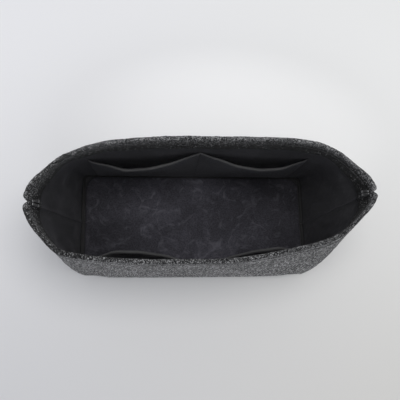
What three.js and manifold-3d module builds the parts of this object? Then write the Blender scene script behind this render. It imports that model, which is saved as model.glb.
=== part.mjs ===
// Purse organizer insert: a felt tray that stands inside a handbag and keeps its contents in order.
// Two felt panels meet in a seam at each end and turn in at the foot to a felt base panel. Their tops
// fold over a cloth lining as a hem. A pocket strip is sewn along each long side, and a stiff board in
// a cloth sleeve lies loose on the floor.
// Millimetres, +Z up, +X along the insert, +Y to the back, origin in the middle of the underside.

import * as THREE from "three";
import { mergeVertices } from "three/addons/utils/BufferGeometryUtils.js";
import Module from "manifold-3d";

const wasm = await Module();
wasm.setup();

// Outside sizes of the felt
const BASE_LENGTH = 240;
const BASE_DEPTH = 110;
const BASE_CORNER = 8;
const HEIGHT = 118;
const MOUTH_LENGTH = 316;
const MOUTH_DEPTH = 116;

// Plan of the mouth: a lens with a round tip, a straight flank and a round shoulder at each end
const TIP_RADIUS = 30;
const SHOULDER_RADIUS = 120;
const FLANK_ANGLE = THREE.MathUtils.degToRad(44);

// How the cloth has settled: the mouth sways to the front at the left end, and to the back at the right end
const LEFT_SWAY = -1.4;
const RIGHT_SWAY = 7.4;
const SWAY_REACH = 117;
const SWAY_POWER = 1.25;
// Places along the length: where, how far they reach, and how far they shift, or by what share they widen
const LEFT_FLANK_SWAY = [-131, 29, -4.2];
const SWELLS = [
  [-131, 16, 0.094],
  [-75, 25, -0.038],
  [80, 37, -0.08],
  [161, 26, -0.237],
];
// The walls belly out above the foot, along the front and at the four corners.
const FRONT_BELLY = 4;
const CORNER_BELLY = 5.5;
const CORNER_START = 85;
const CORNER_REACH = 30;
const BELLY_REACH = 35;

// Cloth thicknesses and the gap between layers
const FELT = 1.6;
const LINING = 0.5;
const POCKET_CLOTH = 0.5;
const CLEARANCE = 0.3;

// Felt panels: hem at the top, bend and seam flange at the foot, groove of the end seam
const HEM_DEPTH = 23;
const FOOT_BEND = 3;
const FOOT_FLANGE = 2.5;
const FOOT_SEAM_GAP = 1.2;
const NOTCH_TOP = 4;
const NOTCH_FOOT = 1.2;
const NOTCH_REACH = 6;
const ALLOWANCE_LENGTH = 8;
const ALLOWANCE_DROP = 2;

// Lining and pockets
const LINING_FOLD_GAP = 3;
const POCKET_HALF_WIDTH = 108;
const POCKET_DROP = 15;
const BACK_POCKET_BULGE = 16;
const FRONT_POCKET_BULGE = 13;
const POCKET_SAG = 3;
const POCKET_SIDE_DROP = 5;
const POCKET_HEM = 8;
const BACK_POCKET_PEAK = 0.6;
const FRONT_POCKET_PEAK = 0.66;
const POCKET_END_FULLNESS = 0.8;
const POCKET_FLARE = 1.6;

// Loose base board in its sleeve
const BOARD_CORE = 2;
const BOARD_CORNER = 12;
const BOARD_PLAY = 2;
const SLEEVE_CLOTH = 0.5;

// Sewing thread
const THREAD_RADIUS = 0.3;
const RIM_STITCH_DROP = 10;
const RIM_STITCH_GROOVE = 0.6;
const RIM_STITCH_GROOVE_HALF = 1.2;
const SEAM_STITCH_MARGIN = 6;
const POCKET_STITCH_MARGIN = 3;
const TACK_LENGTH = 8;
const TACK_WIDTH = 2;
const TACK_THICKNESS = 0.8;
const TACK_MARGIN = 1.5;

// Insets of the layers from the outside of the felt
const LINING_OUTER = FELT + CLEARANCE;
const LINING_INNER = LINING_OUTER + LINING;
const HEM_OUTER = LINING_INNER + CLEARANCE;
const HEM_INNER = HEM_OUTER + FELT;
const POCKET_OUTER = LINING_INNER + CLEARANCE;
const RIM_RADIUS = HEM_INNER / 2;

// Heights
const HEM_FOOT = HEIGHT - HEM_DEPTH;
const WALL_FOOT = FOOT_BEND;
const WALL_TOP = HEIGHT - RIM_RADIUS;
const LINING_TOP = WALL_TOP - LINING_FOLD_GAP;
const POCKET_TOP = HEM_FOOT - POCKET_DROP;
const RIM_STITCH = HEIGHT - RIM_STITCH_DROP;
const LINING_FLOOR = FELT + CLEARANCE;
const BOARD_FLOOR = LINING_FLOOR + LINING + CLEARANCE;

// Facets
const NOTCH_STEPS = 3;
const TIP_STEPS = 2;
const FLANK_STEPS = 4;
const CORNER_STEPS = 4;
const ARC_STEPS = 4;
const POCKET_STEPS = 22;
const THREAD_SIDES = 5;
const WALL_LEVELS = [0, 0.1, 0.22, 0.42, 0.7, 1];
const POCKET_LEVELS = 4;

const feltMaterial = new THREE.MeshStandardMaterial({ color: 0x66676a, roughness: 0.95, metalness: 0 });
const liningMaterial = new THREE.MeshStandardMaterial({ color: 0x2a2a2d, roughness: 0.8, metalness: 0 });
const sleeveMaterial = new THREE.MeshStandardMaterial({ color: 0x323136, roughness: 0.85, metalness: 0 });
const boardMaterial = new THREE.MeshStandardMaterial({ color: 0x1d1d1f, roughness: 0.6, metalness: 0 });
const threadMaterial = new THREE.MeshStandardMaterial({ color: 0x1b1b1d, roughness: 0.7, metalness: 0 });

// Plan outlines of the back half, from the left end seam round the back to the right end seam

const SEAM_EDGE = CLEARANCE / 2;

function makeFootOutline() {
  const x = BASE_LENGTH / 2;
  const y = BASE_DEPTH / 2;
  const path = new THREE.Path();
  path.moveTo(-x, SEAM_EDGE);
  path.lineTo(-x, y - BASE_CORNER);
  path.absarc(-x + BASE_CORNER, y - BASE_CORNER, BASE_CORNER, Math.PI, Math.PI / 2, true);
  path.lineTo(x - BASE_CORNER, y);
  path.absarc(x - BASE_CORNER, y - BASE_CORNER, BASE_CORNER, Math.PI / 2, 0, true);
  path.lineTo(x, SEAM_EDGE);
  return path;
}

// The flank is the line that touches the tip circle and the shoulder circle, which sets the flat's length.
function makeMouthOutline() {
  const tipX = MOUTH_LENGTH / 2 - TIP_RADIUS;
  const shoulderY = MOUTH_DEPTH / 2 - SHOULDER_RADIUS;
  const rise = TIP_RADIUS - SHOULDER_RADIUS - Math.cos(FLANK_ANGLE) * (shoulderY - SEAM_EDGE);
  const shoulderX = tipX + rise / Math.sin(FLANK_ANGLE);
  const square = Math.PI / 2;
  const path = new THREE.Path();
  path.moveTo(-tipX - TIP_RADIUS, SEAM_EDGE);
  path.absarc(-tipX, SEAM_EDGE, TIP_RADIUS, Math.PI, square + FLANK_ANGLE, true);
  path.absarc(-shoulderX, shoulderY, SHOULDER_RADIUS, square + FLANK_ANGLE, square, true);
  path.absarc(shoulderX, shoulderY, SHOULDER_RADIUS, square, square - FLANK_ANGLE, true);
  path.absarc(tipX, SEAM_EDGE, TIP_RADIUS, square - FLANK_ANGLE, 0, true);
  return path;
}

const footOutline = makeFootOutline();
const mouthOutline = makeMouthOutline();
const footLength = footOutline.getLength();
const mouthLength = mouthOutline.getLength();
const cornerStart = (BASE_DEPTH / 2 - BASE_CORNER - SEAM_EDGE) / footLength;
const cornerEnd = cornerStart + (BASE_CORNER * Math.PI) / 2 / footLength;

// A point of the back wall as it is cut: a share of the way round, an inset from the outside, and a height.
// Straight rulings join the foot outline to the mouth outline. The end seam draws in a groove.
function cutPoint(share, inset, z) {
  const rise = z / HEIGHT;
  const point = footOutline.getPoint(share).lerp(mouthOutline.getPoint(share), rise);
  const along = footOutline.getTangent(share).multiplyScalar(footLength);
  along.lerp(mouthOutline.getTangent(share).multiplyScalar(mouthLength), rise).normalize();
  point.x += along.y * inset;
  point.y -= along.x * inset;
  const toSeam = Math.min(share, 1 - share) * THREE.MathUtils.lerp(footLength, mouthLength, rise);
  const pull = Math.max(0, 1 - toSeam / NOTCH_REACH) ** 2 * Math.max(0, 1 - inset / (2 * HEM_INNER));
  const depth = THREE.MathUtils.lerp(NOTCH_FOOT, NOTCH_TOP, rise);
  point.x += Math.sign(0.5 - share) * depth * pull;
  return new THREE.Vector3(point.x, point.y, z);
}

// Sways, swells and bellies a point. Every sewn layer settles alike, so that the layers keep their gaps.
function settle(point) {
  const { x, y, z } = point;
  const ease = (value, reach) => THREE.MathUtils.smoothstep(value, 0, reach);
  const bump = ([middle, reach, size]) => size * Math.exp(-(((x - middle) / reach) ** 2));
  const up = THREE.MathUtils.clamp((z - WALL_FOOT) / (HEIGHT - WALL_FOOT), 0, 1);
  const ends = LEFT_SWAY * ease(-x, SWAY_REACH) + RIGHT_SWAY * ease(x, SWAY_REACH);
  const swell = SWELLS.map(bump).reduce((sum, part) => sum + part);
  const sway = ends + bump(LEFT_FLANK_SWAY) + y * swell;
  const corner = ease(Math.abs(x) - CORNER_START, CORNER_REACH);
  const cornerBelly = corner * ease(Math.abs(y), BELLY_REACH) * Math.sin(Math.PI * up ** 0.7);
  const frontBelly = (1 - corner) * ease(-y, BELLY_REACH) * ease(up, 0.12) * (1 - up) ** 1.5;
  point.x += Math.sign(x) * CORNER_BELLY * cornerBelly;
  point.y += up ** SWAY_POWER * sway - FRONT_BELLY * frontBelly;
  return point;
}

// A point of a wall as it stands. The front is cut as the back is, and turned half a turn.
function wallPoint(side, share, inset, z) {
  const point = cutPoint(share, inset, z);
  if (side === "front") point.set(-point.x, -point.y, z);
  return settle(point);
}

function pocketShare(across) {
  return 0.5 + (across * POCKET_HALF_WIDTH) / mouthLength;
}

// Shares of the way round at which a wall gets a ring: close together at the seam, tip, corner and pocket
function makeStations() {
  const tip = mouthOutline.curves[0].getLength();
  const stretches = [
    [NOTCH_REACH / mouthLength, NOTCH_STEPS],
    [tip / mouthLength, TIP_STEPS],
    [cornerStart, FLANK_STEPS],
    [cornerEnd, CORNER_STEPS],
    [pocketShare(-1), 1],
    [0.5, POCKET_STEPS / 2],
  ];
  const half = [0];
  for (const [end, steps] of stretches) {
    const start = half.at(-1);
    for (let i = 1; i <= steps; i++) half.push(THREE.MathUtils.lerp(start, end, i / steps));
  }
  const mirrored = half.slice(0, -1).map((share) => 1 - share);
  return [...half, ...mirrored.reverse()];
}

const stations = makeStations();

// Solids

function signedVolume(points, triangles) {
  let total = 0;
  for (const [a, b, c] of triangles) {
    total += points[a].dot(new THREE.Vector3().crossVectors(points[b], points[c]));
  }
  return total / 6;
}

function toGeometry(points, triangles) {
  const outward = signedVolume(points, triangles) > 0;
  const index = triangles.flatMap(([a, b, c]) => (outward ? [a, b, c] : [a, c, b]));
  const geometry = new THREE.BufferGeometry().setFromPoints(points);
  geometry.setIndex(index);
  geometry.computeVertexNormals();
  return geometry;
}

// The cut end of a strip of cloth. Its triangles climb both faces of the strip side by side.
function capTriangles(profile) {
  const runs = [0];
  for (const [i, point] of profile.entries()) {
    const next = profile[(i + 1) % profile.length];
    runs.push(runs[i] + point.distanceTo(next));
  }
  const off = runs.map((run) => Math.abs(run - runs.at(-1) / 2));
  const far = off.indexOf(Math.min(...off));
  const triangles = [];
  let a = 0;
  let b = profile.length - 1;
  while (b - a > 1) {
    const nearer = profile[a + 1].distanceTo(profile[b]) < profile[a].distanceTo(profile[b - 1]);
    const climbFirst = a < far && (nearer || b === far + 1);
    triangles.push(climbFirst ? [a, b, a + 1] : [a, b, b - 1]);
    if (climbFirst) a += 1;
    else b -= 1;
  }
  return triangles;
}

// A skin through rings of points. An open row gets end caps, from the clockwise profiles of its end rings.
// Every facet's diagonal rises the same way, so that layers with the same rings keep their gap.
function loft(rings, capProfiles) {
  const count = rings[0].length;
  const points = rings.flat();
  const triangles = [];
  const spans = capProfiles ? rings.length - 1 : rings.length;
  for (let r = 0; r < spans; r++) {
    const here = r * count;
    const next = ((r + 1) % rings.length) * count;
    for (let i = 0; i < count; i++) {
      const j = (i + 1) % count;
      const rising = points[here + j].z >= points[here + i].z;
      const lower = rising ? [here + i, next + i, next + j] : [here + i, next + i, here + j];
      const upper = rising ? [here + i, next + j, here + j] : [next + i, next + j, here + j];
      triangles.push(lower, upper);
    }
  }
  if (capProfiles) {
    const last = (rings.length - 1) * count;
    const [first, final] = capProfiles.map(capTriangles);
    for (const [a, b, c] of first) triangles.push([a, c, b]);
    for (const [a, b, c] of final) triangles.push([last + a, last + b, last + c]);
  }
  return toGeometry(points, triangles);
}

// Carries a clockwise profile of insets and heights along a wall.
function sweepWall(side, shares, profileAt) {
  const profiles = shares.map(profileAt);
  const rings = profiles.map((profile, i) => profile.map((p) => wallPoint(side, shares[i], p.x, p.y)));
  return loft(rings, [profiles[0], profiles.at(-1)]);
}

function arc(x, y, radius, from, to, steps) {
  return Array.from({ length: steps + 1 }, (_, i) => {
    const angle = THREE.MathUtils.lerp(from, to, i / steps);
    return new THREE.Vector2(x + radius * Math.cos(angle), y + radius * Math.sin(angle));
  });
}

function levels(inset, low, high) {
  return WALL_LEVELS.map((way) => new THREE.Vector2(inset, THREE.MathUtils.lerp(low, high, way)));
}

// The wall's own levels, shared by every layer of it
function wallLevels(inset) {
  return levels(inset, WALL_FOOT, HEM_FOOT);
}

function settleGeometry(geometry) {
  const place = geometry.attributes.position;
  for (let i = 0; i < place.count; i++) {
    const point = settle(new THREE.Vector3().fromBufferAttribute(place, i));
    place.setXYZ(i, point.x, point.y, point.z);
  }
  return geometry;
}

function toManifold(geometry) {
  const bare = geometry.clone().deleteAttribute("normal").deleteAttribute("uv");
  const merged = mergeVertices(bare, 1e-4);
  return new wasm.Manifold(
    new wasm.Mesh({
      numProp: 3,
      vertProperties: merged.attributes.position.array,
      triVerts: new Uint32Array(merged.index.array),
    }),
  );
}

function fromManifold(solid) {
  const { vertProperties, triVerts } = solid.getMesh();
  const geometry = new THREE.BufferGeometry();
  geometry.setAttribute("position", new THREE.BufferAttribute(vertProperties, 3));
  geometry.setIndex(new THREE.BufferAttribute(triVerts, 1));
  geometry.computeVertexNormals();
  return geometry;
}

function roundedPlate(length, depth, corner, thickness, bottom) {
  const x = length / 2;
  const y = depth / 2;
  const quarter = Math.PI / 2;
  const shape = new THREE.Shape();
  shape.absarc(x - corner, y - corner, corner, 0, quarter);
  shape.absarc(-x + corner, y - corner, corner, quarter, 2 * quarter);
  shape.absarc(-x + corner, -y + corner, corner, 2 * quarter, 3 * quarter);
  shape.absarc(x - corner, -y + corner, corner, 3 * quarter, 4 * quarter);
  const options = { depth: thickness, bevelEnabled: false, curveSegments: ARC_STEPS };
  return new THREE.ExtrudeGeometry(shape, options).translate(0, 0, bottom);
}

function threadSection(inset, z) {
  return arc(inset, z, THREAD_RADIUS, 2 * Math.PI, 0, THREAD_SIDES).slice(0, -1);
}

function threadAlong(points) {
  const shape = new THREE.Shape(threadSection(0, 0));
  const path = new THREE.CatmullRomCurve3(points);
  const options = { steps: 2 * points.length, extrudePath: path, bevelEnabled: false };
  return new THREE.ExtrudeGeometry(shape, options);
}

// Felt panel: the wall with a turned-in foot, and the top folded inwards as the hem

function feltProfile() {
  const flange = FOOT_BEND + FOOT_FLANGE;
  const halfTurn = Math.PI;
  const outside = [
    new THREE.Vector2(flange, 0),
    ...arc(FOOT_BEND, FOOT_BEND, FOOT_BEND, 1.5 * halfTurn, halfTurn, ARC_STEPS),
    ...levels(0, WALL_FOOT, RIM_STITCH - RIM_STITCH_GROOVE_HALF).slice(1),
    new THREE.Vector2(RIM_STITCH_GROOVE, RIM_STITCH),
    new THREE.Vector2(0, RIM_STITCH + RIM_STITCH_GROOVE_HALF),
  ];
  const fold = arc(RIM_RADIUS, WALL_TOP, RIM_RADIUS, halfTurn, 0, ARC_STEPS + 2);
  const hem = [
    new THREE.Vector2(HEM_INNER, HEM_FOOT),
    new THREE.Vector2(HEM_OUTER, HEM_FOOT),
    new THREE.Vector2(HEM_OUTER, LINING_TOP),
  ];
  const slot = arc(RIM_RADIUS, WALL_TOP, RIM_RADIUS - FELT, 0, halfTurn, 2);
  const inside = [
    new THREE.Vector2(FELT, LINING_TOP),
    ...wallLevels(FELT).reverse().slice(0, -1),
    ...arc(FOOT_BEND, FOOT_BEND, FOOT_BEND - FELT, halfTurn, 1.5 * halfTurn, ARC_STEPS - 1),
    new THREE.Vector2(flange, FELT),
  ];
  return [...outside, ...fold, ...hem, ...slot, ...inside];
}

// The felt's edge at an end seam, turned inwards beside the hem and leaning with the wall
function seamAllowance(side, share) {
  const low = HEM_FOOT + ALLOWANCE_DROP;
  const high = HEIGHT - ALLOWANCE_DROP;
  const root = (HEM_OUTER + HEM_INNER) / 2;
  const tip = HEM_INNER + ALLOWANCE_LENGTH;
  const corners = [[root, low], [tip, low], [tip, high], [root, high]];
  const outline = corners.map(([inset, z]) => new THREE.Vector2(cutPoint(share, inset, z).x, z));
  const shape = new THREE.Shape(outline);
  const geometry = new THREE.ExtrudeGeometry(shape, { depth: FELT, bevelEnabled: false });
  geometry.rotateX(Math.PI / 2).translate(0, SEAM_EDGE + FELT, 0);
  return settleGeometry(side === "back" ? geometry : geometry.rotateZ(Math.PI));
}

function makeFeltPanel(side) {
  const profile = feltProfile();
  const wall = toManifold(sweepWall(side, stations, () => profile));
  const ends = [0, 1].map((share) => toManifold(seamAllowance(side, share)));
  return fromManifold(ends.reduce((solid, end) => solid.add(end), wall));
}

// Lining panel: one layer of cloth between the felt and the hem, down to the floor

function makeLiningPanel(side) {
  const outer = [...wallLevels(LINING_OUTER), new THREE.Vector2(LINING_OUTER, LINING_TOP)];
  const inner = [...wallLevels(LINING_INNER), new THREE.Vector2(LINING_INNER, LINING_TOP)];
  const profile = [...outer, ...inner.reverse()];
  return sweepWall(side, stations, () => profile);
}

// Pocket strip: flat on the lining at its ends and middle, standing open between, with a doubled top edge

// How far the mouth stands open: more and more from the tack to its widest place, then less to the sewn end
function pocketOpen(across, peak) {
  const quarter = Math.PI / 2;
  const way = Math.abs(across);
  if (way < peak) return Math.sin((quarter * way) / peak);
  return Math.max(0, Math.cos((quarter * (way - peak)) / (1 - peak))) ** POCKET_END_FULLNESS;
}

function pocketEdge(across, open) {
  return POCKET_TOP - POCKET_SIDE_DROP * across ** 2 - POCKET_SAG * open;
}

function pocketProfile(across, bulge, peak) {
  const open = pocketOpen(across, peak);
  const top = pocketEdge(across, open);
  const hem = top - POCKET_HEM;
  const stand = bulge * open;
  const inset = (z) => POCKET_OUTER + stand * ((z - WALL_FOOT) / (top - WALL_FOOT)) ** POCKET_FLARE;
  const at = (z, layers) => new THREE.Vector2(inset(z) + layers * POCKET_CLOTH, z);
  const body = wallLevels(0).slice(0, POCKET_LEVELS).map((p) => p.y);
  const wallSide = [...body, hem, top].map((z) => at(z, 0));
  const openSide = [at(top, 2), at(hem, 2), at(hem, 1), ...body.reverse().map((z) => at(z, 1))];
  return [...wallSide, ...openSide];
}

function makePocketPanel(side, bulge, peak) {
  const across = Array.from({ length: POCKET_STEPS + 1 }, (_, i) => (2 * i) / POCKET_STEPS - 1);
  return sweepWall(side, across.map(pocketShare), (share, i) => pocketProfile(across[i], bulge, peak));
}

// Stitching

function makeRimStitch(side) {
  const section = threadSection(RIM_STITCH_GROOVE - CLEARANCE - THREAD_RADIUS, RIM_STITCH);
  return sweepWall(side, stations.slice(1, -1), () => section);
}

function makeEndSeamStitch(end) {
  const out = CLEARANCE + THREAD_RADIUS;
  const share = end === "left" ? 0 : 1;
  const points = levels(-out, WALL_FOOT + SEAM_STITCH_MARGIN, WALL_TOP - SEAM_STITCH_MARGIN);
  return threadAlong(points.map((p) => settle(cutPoint(share, p.x, p.y).setY(0))));
}

// The seam of the base runs straight from corner to corner.
function makeBaseSeamStitch() {
  const section = threadSection(FOOT_BEND + FOOT_FLANGE + FOOT_SEAM_GAP / 2, FELT / 2);
  const steps = Array.from({ length: CORNER_STEPS + 1 }, (_, i) => i / CORNER_STEPS);
  const left = steps.map((way) => THREE.MathUtils.lerp(cornerStart, cornerEnd, way));
  const corners = [...left, ...left.map((share) => 1 - share).reverse()];
  const around = (side) => corners.map((share) => section.map((p) => wallPoint(side, share, p.x, p.y)));
  return loft([...around("back"), ...around("front")]);
}

const POCKET_FACE = POCKET_OUTER + 2 * POCKET_CLOTH + CLEARANCE;

function makePocketStitch(side, across, top) {
  const points = levels(POCKET_FACE + THREAD_RADIUS, WALL_FOOT + SEAM_STITCH_MARGIN, top);
  return threadAlong(points.map((p) => wallPoint(side, pocketShare(across), p.x, p.y)));
}

function makePocketSideStitch(side, across) {
  return makePocketStitch(side, across, pocketEdge(across, 0) - POCKET_STITCH_MARGIN);
}

function makePocketDividerStitch(side) {
  return makePocketStitch(side, 0, POCKET_TOP - TACK_MARGIN - TACK_LENGTH - CLEARANCE);
}

// A short bar of close stitches that holds the two pocket mouths down where they meet
function makePocketTack(side) {
  const radius = TACK_WIDTH / 2;
  const bar = new THREE.CapsuleGeometry(radius, TACK_LENGTH - TACK_WIDTH, ARC_STEPS / 2, 2 * ARC_STEPS);
  bar.rotateX(Math.PI / 2).scale(1, TACK_THICKNESS / TACK_WIDTH, 1);
  const height = POCKET_TOP - TACK_MARGIN - TACK_LENGTH / 2;
  const middle = wallPoint(side, 0.5, POCKET_FACE + TACK_THICKNESS / 2, height);
  return bar.translate(middle.x, middle.y, middle.z);
}

// Base panels and the loose board

const FELT_BASE_INSET = FOOT_BEND + FOOT_FLANGE + FOOT_SEAM_GAP;
const LINING_BASE_INSET = FOOT_BEND + CLEARANCE;
const BOARD_INSET = POCKET_OUTER + POCKET_CLOTH + BOARD_PLAY;
const SLEEVE_HEIGHT = BOARD_CORE + 2 * (SLEEVE_CLOTH + CLEARANCE);
const CORE_INSET = BOARD_INSET + SLEEVE_CLOTH + CLEARANCE;

function basePlate(inset, corner, thickness, bottom) {
  return roundedPlate(BASE_LENGTH - 2 * inset, BASE_DEPTH - 2 * inset, corner, thickness, bottom);
}

function makeCore() {
  const corner = BOARD_CORNER - SLEEVE_CLOTH - CLEARANCE;
  return basePlate(CORE_INSET, corner, BOARD_CORE, BOARD_FLOOR + SLEEVE_CLOTH + CLEARANCE);
}

// The sleeve is open at its right end, where the board slides in.
function makeSleeve() {
  const outer = toManifold(basePlate(BOARD_INSET, BOARD_CORNER, SLEEVE_HEIGHT, BOARD_FLOOR));
  const room = BOARD_CORE + 2 * CLEARANCE;
  const inset = BOARD_INSET + SLEEVE_CLOTH;
  const length = BASE_LENGTH - 2 * inset;
  const depth = BASE_DEPTH - 2 * inset;
  const corner = BOARD_CORNER - SLEEVE_CLOTH;
  const pouch = roundedPlate(length, depth, corner, room, BOARD_FLOOR + SLEEVE_CLOTH);
  const mouth = new THREE.BoxGeometry(BOARD_CORNER * 2, depth - 2 * corner, room);
  mouth.translate(BASE_LENGTH / 2 - inset, 0, BOARD_FLOOR + SLEEVE_CLOTH + room / 2);
  return fromManifold(outer.subtract(toManifold(pouch)).subtract(toManifold(mouth)));
}

// Assembly

const insert = new THREE.Group();

function addPiece(group, name, geometry, material) {
  const mesh = new THREE.Mesh(geometry, material);
  mesh.name = name;
  group.add(mesh);
  return mesh;
}

for (const side of ["back", "front"]) {
  const group = new THREE.Group();
  insert.add(group);
  const leftEnd = side === "back" ? -1 : 1;
  const bulge = side === "back" ? BACK_POCKET_BULGE : FRONT_POCKET_BULGE;
  const peak = side === "back" ? BACK_POCKET_PEAK : FRONT_POCKET_PEAK;
  addPiece(group, `felt_${side}_panel`, makeFeltPanel(side), feltMaterial);
  addPiece(group, `lining_${side}_panel`, makeLiningPanel(side), liningMaterial);
  addPiece(group, `${side}_pocket_panel`, makePocketPanel(side, bulge, peak), liningMaterial);
  addPiece(group, `${side}_rim_topstitch`, makeRimStitch(side), threadMaterial);
  addPiece(group, `${side}_pocket_tack`, makePocketTack(side), threadMaterial);
  addPiece(group, `${side}_pocket_divider_stitch`, makePocketDividerStitch(side), threadMaterial);
  addPiece(group, `${side}_pocket_left_stitch`, makePocketSideStitch(side, leftEnd), threadMaterial);
  addPiece(group, `${side}_pocket_right_stitch`, makePocketSideStitch(side, -leftEnd), threadMaterial);
}

for (const end of ["left", "right"]) {
  addPiece(insert, `${end}_end_seam_stitch`, makeEndSeamStitch(end), threadMaterial);
}

const feltBase = basePlate(FELT_BASE_INSET, BASE_CORNER - FOOT_BEND - FOOT_FLANGE, FELT, 0);
addPiece(insert, "felt_base_panel", feltBase, feltMaterial);
const liningBase = basePlate(LINING_BASE_INSET, BASE_CORNER - LINING_INNER, LINING, LINING_FLOOR);
addPiece(insert, "lining_base_panel", liningBase, liningMaterial);
addPiece(insert, "base_seam_stitch", makeBaseSeamStitch(), threadMaterial);
addPiece(insert, "base_board_core", makeCore(), boardMaterial);
addPiece(insert, "base_board_sleeve", makeSleeve(), sleeveMaterial);

export default insert;
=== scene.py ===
"""Purse organizer insert: a heathered felt tray with a black lining, pocket strips and a loose board."""
import math

import bmesh
import bpy
import numpy as np
from mathutils import Matrix, Vector


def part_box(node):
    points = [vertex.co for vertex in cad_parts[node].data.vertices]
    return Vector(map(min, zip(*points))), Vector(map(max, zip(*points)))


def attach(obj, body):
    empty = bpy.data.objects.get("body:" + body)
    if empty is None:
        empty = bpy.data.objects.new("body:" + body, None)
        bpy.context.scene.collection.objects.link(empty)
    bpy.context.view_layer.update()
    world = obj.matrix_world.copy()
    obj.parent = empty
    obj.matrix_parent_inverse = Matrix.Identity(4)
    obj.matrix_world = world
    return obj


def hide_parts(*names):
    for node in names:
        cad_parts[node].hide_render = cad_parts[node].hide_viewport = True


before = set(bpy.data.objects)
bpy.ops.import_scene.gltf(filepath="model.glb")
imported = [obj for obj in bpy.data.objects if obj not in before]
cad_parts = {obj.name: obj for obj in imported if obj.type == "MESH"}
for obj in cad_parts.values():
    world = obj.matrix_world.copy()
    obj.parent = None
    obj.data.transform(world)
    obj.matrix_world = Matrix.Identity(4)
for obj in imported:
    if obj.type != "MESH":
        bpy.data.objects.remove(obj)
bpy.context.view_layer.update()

MM = 0.001
PI = math.pi
SAME_SPOT = 1e-9
SAME_POINT = 1e-6
SHARP_ANGLE = math.radians(50)

# Outside sizes of the felt, in metres, as in the solids
BASE_LENGTH = 240 * MM
BASE_DEPTH = 110 * MM
BASE_CORNER = 8 * MM
HEIGHT = 118 * MM
MOUTH_LENGTH = 316 * MM
MOUTH_DEPTH = 116 * MM
TIP_RADIUS = 30 * MM
SHOULDER_RADIUS = 120 * MM
FLANK_ANGLE = math.radians(44)

# Cloth thicknesses and the insets of the layers from the outside of the felt
FELT = 1.6 * MM
CLOTH = 0.5 * MM
CLEARANCE = 0.3 * MM
SEAM_EDGE = CLEARANCE / 2
LINING_OUTER = FELT + CLEARANCE
LINING_INNER = LINING_OUTER + CLOTH
HEM_OUTER = LINING_INNER + CLEARANCE
HEM_INNER = HEM_OUTER + FELT
POCKET_OUTER = LINING_INNER + CLEARANCE
RIM_RADIUS = HEM_INNER / 2

# Felt panels: the hem, the turned-in foot, the notches at the end seams and the tabs' room
HEM_DEPTH = 23 * MM
FOOT_BEND = 3 * MM
FOOT_FLANGE = 2.5 * MM
FOOT_SEAM_GAP = 1.2 * MM
NOTCH_TOP = 4 * MM
NOTCH_FOOT = 1.2 * MM
NOTCH_REACH = 6 * MM
ALLOWANCE_LENGTH = 8 * MM
ALLOWANCE_DROP = 2 * MM
FLANGE_EDGE = 1.5 * MM

# Heights above the underside
HEM_FOOT = HEIGHT - HEM_DEPTH
WALL_FOOT = FOOT_BEND
WALL_TOP = HEIGHT - RIM_RADIUS
LINING_TOP = WALL_TOP - 3 * MM
POCKET_TOP = HEM_FOOT - 15 * MM
RIM_STITCH = HEIGHT - 10 * MM
LINING_FLOOR = FELT + CLEARANCE

# Steps along a wall: close beside the end seams, wider between them, and how far the close ones reach
FELT_STEPS = (0.45 * MM, 0.9 * MM, 12 * MM)
LINING_STEPS = (0.8 * MM, 1.9 * MM, 8 * MM)

# Lining: its lap on the floor, painted shade in the creases at the foot and the end seams, and puffs
# beside the seams
FOOT_LAP = 2 * MM
LAP_GAP = 0.05 * MM
FOOT_ROUND = 0.55 * MM
FOOT_CREASE = 5 * MM
FLOOR_EDGE_SHADE = 0.2
SEAM_CREASE = 9 * MM
SEAM_SHADE = 0.15
PUFF = 2.2 * MM
PUFF_RISE = 9 * MM
PUFF_END = 58 * MM
PUFF_FADE = 30 * MM
PUFF_LENGTH = 17 * MM
PUFF_FOOT = 6 * MM
PUFF_FOOT_FADE = 18 * MM
PUFF_TOP = HEM_FOOT - 2 * MM
PUFF_TOP_FADE = 16 * MM

# Pockets: the open mouths, their rolled hems and the cloth's drape
POCKET_HALF_WIDTH = 108 * MM
POCKET_BULGE = {"back": 16 * MM, "front": 13 * MM}
POCKET_LEAN = {"back": 0.03, "front": 0.11}
POCKET_SAG = 3 * MM
POCKET_SIDE_DROP = 5 * MM
POCKET_HEM = 8 * MM
POCKET_PEAK = {"back": 0.6, "front": 0.66}
POCKET_END_FULLNESS = 0.8
POCKET_FLARE = 1.6
POCKET_DRAPE = 0.7 * MM
DRAPE_LENGTH = 26 * MM
MOUTH_ROLL = 1.8 * MM
MOUTH_LIP = 0.35 * MM
MOUTH_RISE = 0.75 * MM
POCKET_HEM_STEP = 0.25 * MM
POCKET_COLUMNS = 173
POCKET_ROWS = 30
POCKET_HEM_ROWS = 9
# Painted light on the pockets: how far a painted highlight reaches down from a mouth's edge, and how
# much painted light there is at the pocket's foot
MOUTH_HIGHLIGHT = 4.5 * MM
MOUTH_HIGHLIGHT_FADE = 4 * MM
FOOT_PAINTED_LIGHT = 0.4
FOOT_LIGHT_FADE = 35 * MM

# The felt's surface: lumps (height, wavelength, seed), the hem's loose lower edge and the puffed fold
LUMPS = ((0.10 * MM, 7 * MM, 11), (0.08 * MM, 3.2 * MM, 12))
HEM_FLUTTER = 0.9 * MM
FLUTTER_LENGTH = 42 * MM
FLUTTER_RISE = 25 * MM
FOLD_PUFF = 0.12 * MM
FOLD_PUFF_LENGTH = 24 * MM

# The felt's cut edges, turned in at the end seams as soft tabs
TAB_THICKNESS = 1.35 * FELT
TAB_CORNER = 0.45 * TAB_THICKNESS
TAB_SHORTER = 0.45
TAB_SAG = 0.9 * MM
TAB_DROOP = 2 * MM
TAB_SPLAY = 0.7 * MM
TAB_FRAY = 0.16 * MM
TAB_SAG_LENGTH = 9 * MM
TAB_SPLAY_WAVES = 41
TAB_FRAY_LENGTH = 2.6 * MM
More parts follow.
